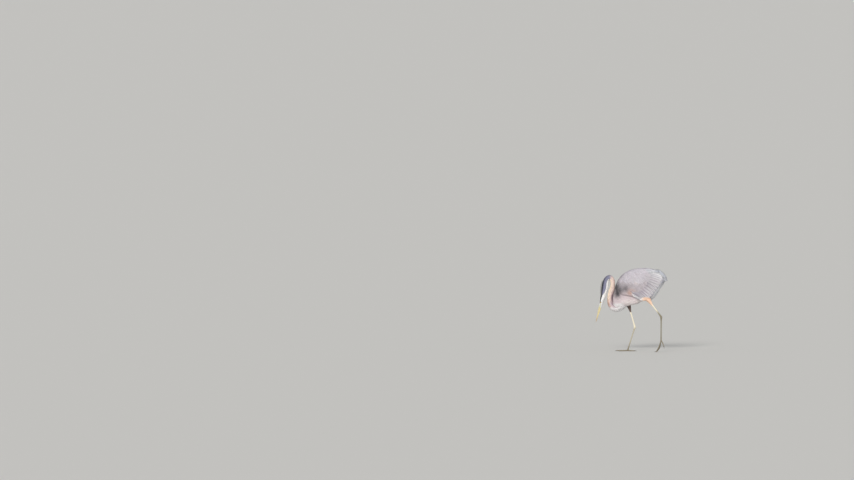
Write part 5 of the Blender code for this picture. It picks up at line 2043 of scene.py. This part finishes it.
class HeronStage(bpy.types.PropertyGroup):
    """Floor, light and camera."""

    floor_size: number("Floor size", "Side of the floor", 900.0, **LENGTH)
    floor_colour: tint("Floor", "#D2D2D0", "Floor paint")
    sky_colour: tint("Sky", "#FFFFFF", "Even light from all round")
    sky_strength: number("Sky strength", "Strength of the even light", 0.53, min=0.0)
    sun_colour: tint("Sun", "#FFFBF5", "Main light")
    sun_strength: number("Sun strength", "Strength of the main light", 2.0, min=0.0)
    sun_spread: number("Sun spread", "How wide and soft the main light is", math.radians(16), **ANGLE)
    fill_strength: number("Fill strength", "Strength of the low second light", 0.6, min=0.0)
    view_turn: number("View turn", "Camera's turn to the right of the side", math.radians(20), **ANGLE)
    view_rise: number("View rise", "Camera's angle above level", math.radians(2), **ANGLE)
    view_distance: number("View distance", "From camera to bird", 80.0, **LENGTH)
    view_width: number("View width", "Width that the frame spans at the bird", 7.174, **LENGTH)
    aim_along: number("Aim along", "Frame's middle to the right of the bird's", -1.719, **LENGTH)
    aim_height: number("Aim height", "Frame's middle above the floor", 0.937, **LENGTH)


class HERON_OT_skin(bpy.types.Operator):
    """Make the one skin of the whole bird"""

    bl_idname = "heron.skin"
    bl_label = "Skin"

    def execute(self, context):
        make_skin()
        return {"FINISHED"}


class HERON_OT_head_coat(bpy.types.Operator):
    """Lay the short feathers of the head"""

    bl_idname = "heron.head_coat"
    bl_label = "Head feathers"

    def execute(self, context):
        make_head_coat()
        return {"FINISHED"}


class HERON_OT_face(bpy.types.Operator):
    """Make the bare skin round the base of the bill"""

    bl_idname = "heron.face"
    bl_label = "Face skin"

    def execute(self, context):
        make_face()
        return {"FINISHED"}


class HERON_OT_neck_coat(bpy.types.Operator):
    """Lay the neck feathers and the plumes under the low fold"""

    bl_idname = "heron.neck_coat"
    bl_label = "Neck feathers"

    def execute(self, context):
        make_neck_coat()
        return {"FINISHED"}


class HERON_OT_body_coat(bpy.types.Operator):
    """Lay the contour feathers of the trunk"""

    bl_idname = "heron.body_coat"
    bl_label = "Body feathers"

    def execute(self, context):
        make_body_coat()
        make_vent_coat()
        return {"FINISHED"}


class HERON_OT_wing_coats(bpy.types.Operator):
    """Lay flight feathers, coverts and scapulars on both wings"""

    bl_idname = "heron.wing_coats"
    bl_label = "Wing feathers"

    def execute(self, context):
        make_wing_coats()
        return {"FINISHED"}


class HERON_OT_tail_coat(bpy.types.Operator):
    """Lay the tail feathers and their coverts"""

    bl_idname = "heron.tail_coat"
    bl_label = "Tail feathers"

    def execute(self, context):
        make_tail_coat()
        return {"FINISHED"}


class HERON_OT_thigh_coats(bpy.types.Operator):
    """Lay the soft feathers of both thighs"""

    bl_idname = "heron.thigh_coats"
    bl_label = "Thigh feathers"

    def execute(self, context):
        make_thigh_coats()
        return {"FINISHED"}


class HERON_OT_gap_feathers(bpy.types.Operator):
    """Lay short feathers wherever the coats leave the skin bare"""

    bl_idname = "heron.gap_feathers"
    bl_label = "Gap feathers"

    def execute(self, context):
        make_gap_feathers()
        return {"FINISHED"}


class HERON_OT_crest(bpy.types.Operator):
    """Make the two long plumes of the nape"""

    bl_idname = "heron.crest"
    bl_label = "Crest plumes"

    def execute(self, context):
        make_crest()
        return {"FINISHED"}


class HERON_OT_bill(bpy.types.Operator):
    """Make both halves of the bill"""

    bl_idname = "heron.bill"
    bl_label = "Bill"

    def execute(self, context):
        make_bill()
        return {"FINISHED"}


class HERON_OT_eyes(bpy.types.Operator):
    """Make the eyes and their lids"""

    bl_idname = "heron.eyes"
    bl_label = "Eyes and lids"

    def execute(self, context):
        make_eyes()
        make_lids()
        return {"FINISHED"}


class HERON_OT_leg_scales(bpy.types.Operator):
    """Lay the plates of shins and toes"""

    bl_idname = "heron.leg_scales"
    bl_label = "Leg scales"

    def execute(self, context):
        make_scales()
        return {"FINISHED"}


class HERON_OT_claws(bpy.types.Operator):
    """Make the eight claws"""

    bl_idname = "heron.claws"
    bl_label = "Claws"

    def execute(self, context):
        make_claws()
        return {"FINISHED"}


class HERON_OT_stage(bpy.types.Operator):
    """Set up the floor, light and camera"""

    bl_idname = "heron.stage"
    bl_label = "Stage"

    def execute(self, context):
        make_stage()
        return {"FINISHED"}


OPERATORS = (
    HERON_OT_skin,
    HERON_OT_face,
    HERON_OT_head_coat,
    HERON_OT_neck_coat,
    HERON_OT_body_coat,
    HERON_OT_wing_coats,
    HERON_OT_tail_coat,
    HERON_OT_thigh_coats,
    HERON_OT_gap_feathers,
    HERON_OT_crest,
    HERON_OT_bill,
    HERON_OT_eyes,
    HERON_OT_leg_scales,
    HERON_OT_claws,
    HERON_OT_stage,
)


class HERON_PT_panel(bpy.types.Panel):
    """Lists the bird's sizes, colours and makers"""

    bl_idname = "HERON_PT_panel"
    bl_label = "Great Blue Heron"
    bl_space_type = "VIEW_3D"
    bl_region_type = "UI"
    bl_category = "Heron"

    def draw(self, context):
        for operator in OPERATORS:
            self.layout.operator(operator.bl_idname)
        for group in (context.scene.heron_sizes, context.scene.heron_colours, context.scene.heron_stage):
            box = self.layout.box()
            for name in type(group).__annotations__:
                box.prop(group, name)


CLASSES = (HeronSizes, HeronColours, HeronStage, *OPERATORS, HERON_PT_panel)


def register():
    for item in CLASSES:
        bpy.utils.register_class(item)
    bpy.types.Scene.heron_sizes = PointerProperty(type=HeronSizes)
    bpy.types.Scene.heron_colours = PointerProperty(type=HeronColours)
    bpy.types.Scene.heron_stage = PointerProperty(type=HeronStage)


def unregister():
    del bpy.types.Scene.heron_stage
    del bpy.types.Scene.heron_colours
    del bpy.types.Scene.heron_sizes
    for item in reversed(CLASSES):
        bpy.utils.unregister_class(item)


def main():
    register()
    for operator in OPERATORS:
        group, name = operator.bl_idname.split(".")
        getattr(getattr(bpy.ops, group), name)()


if __name__ == "__main__":
    main()
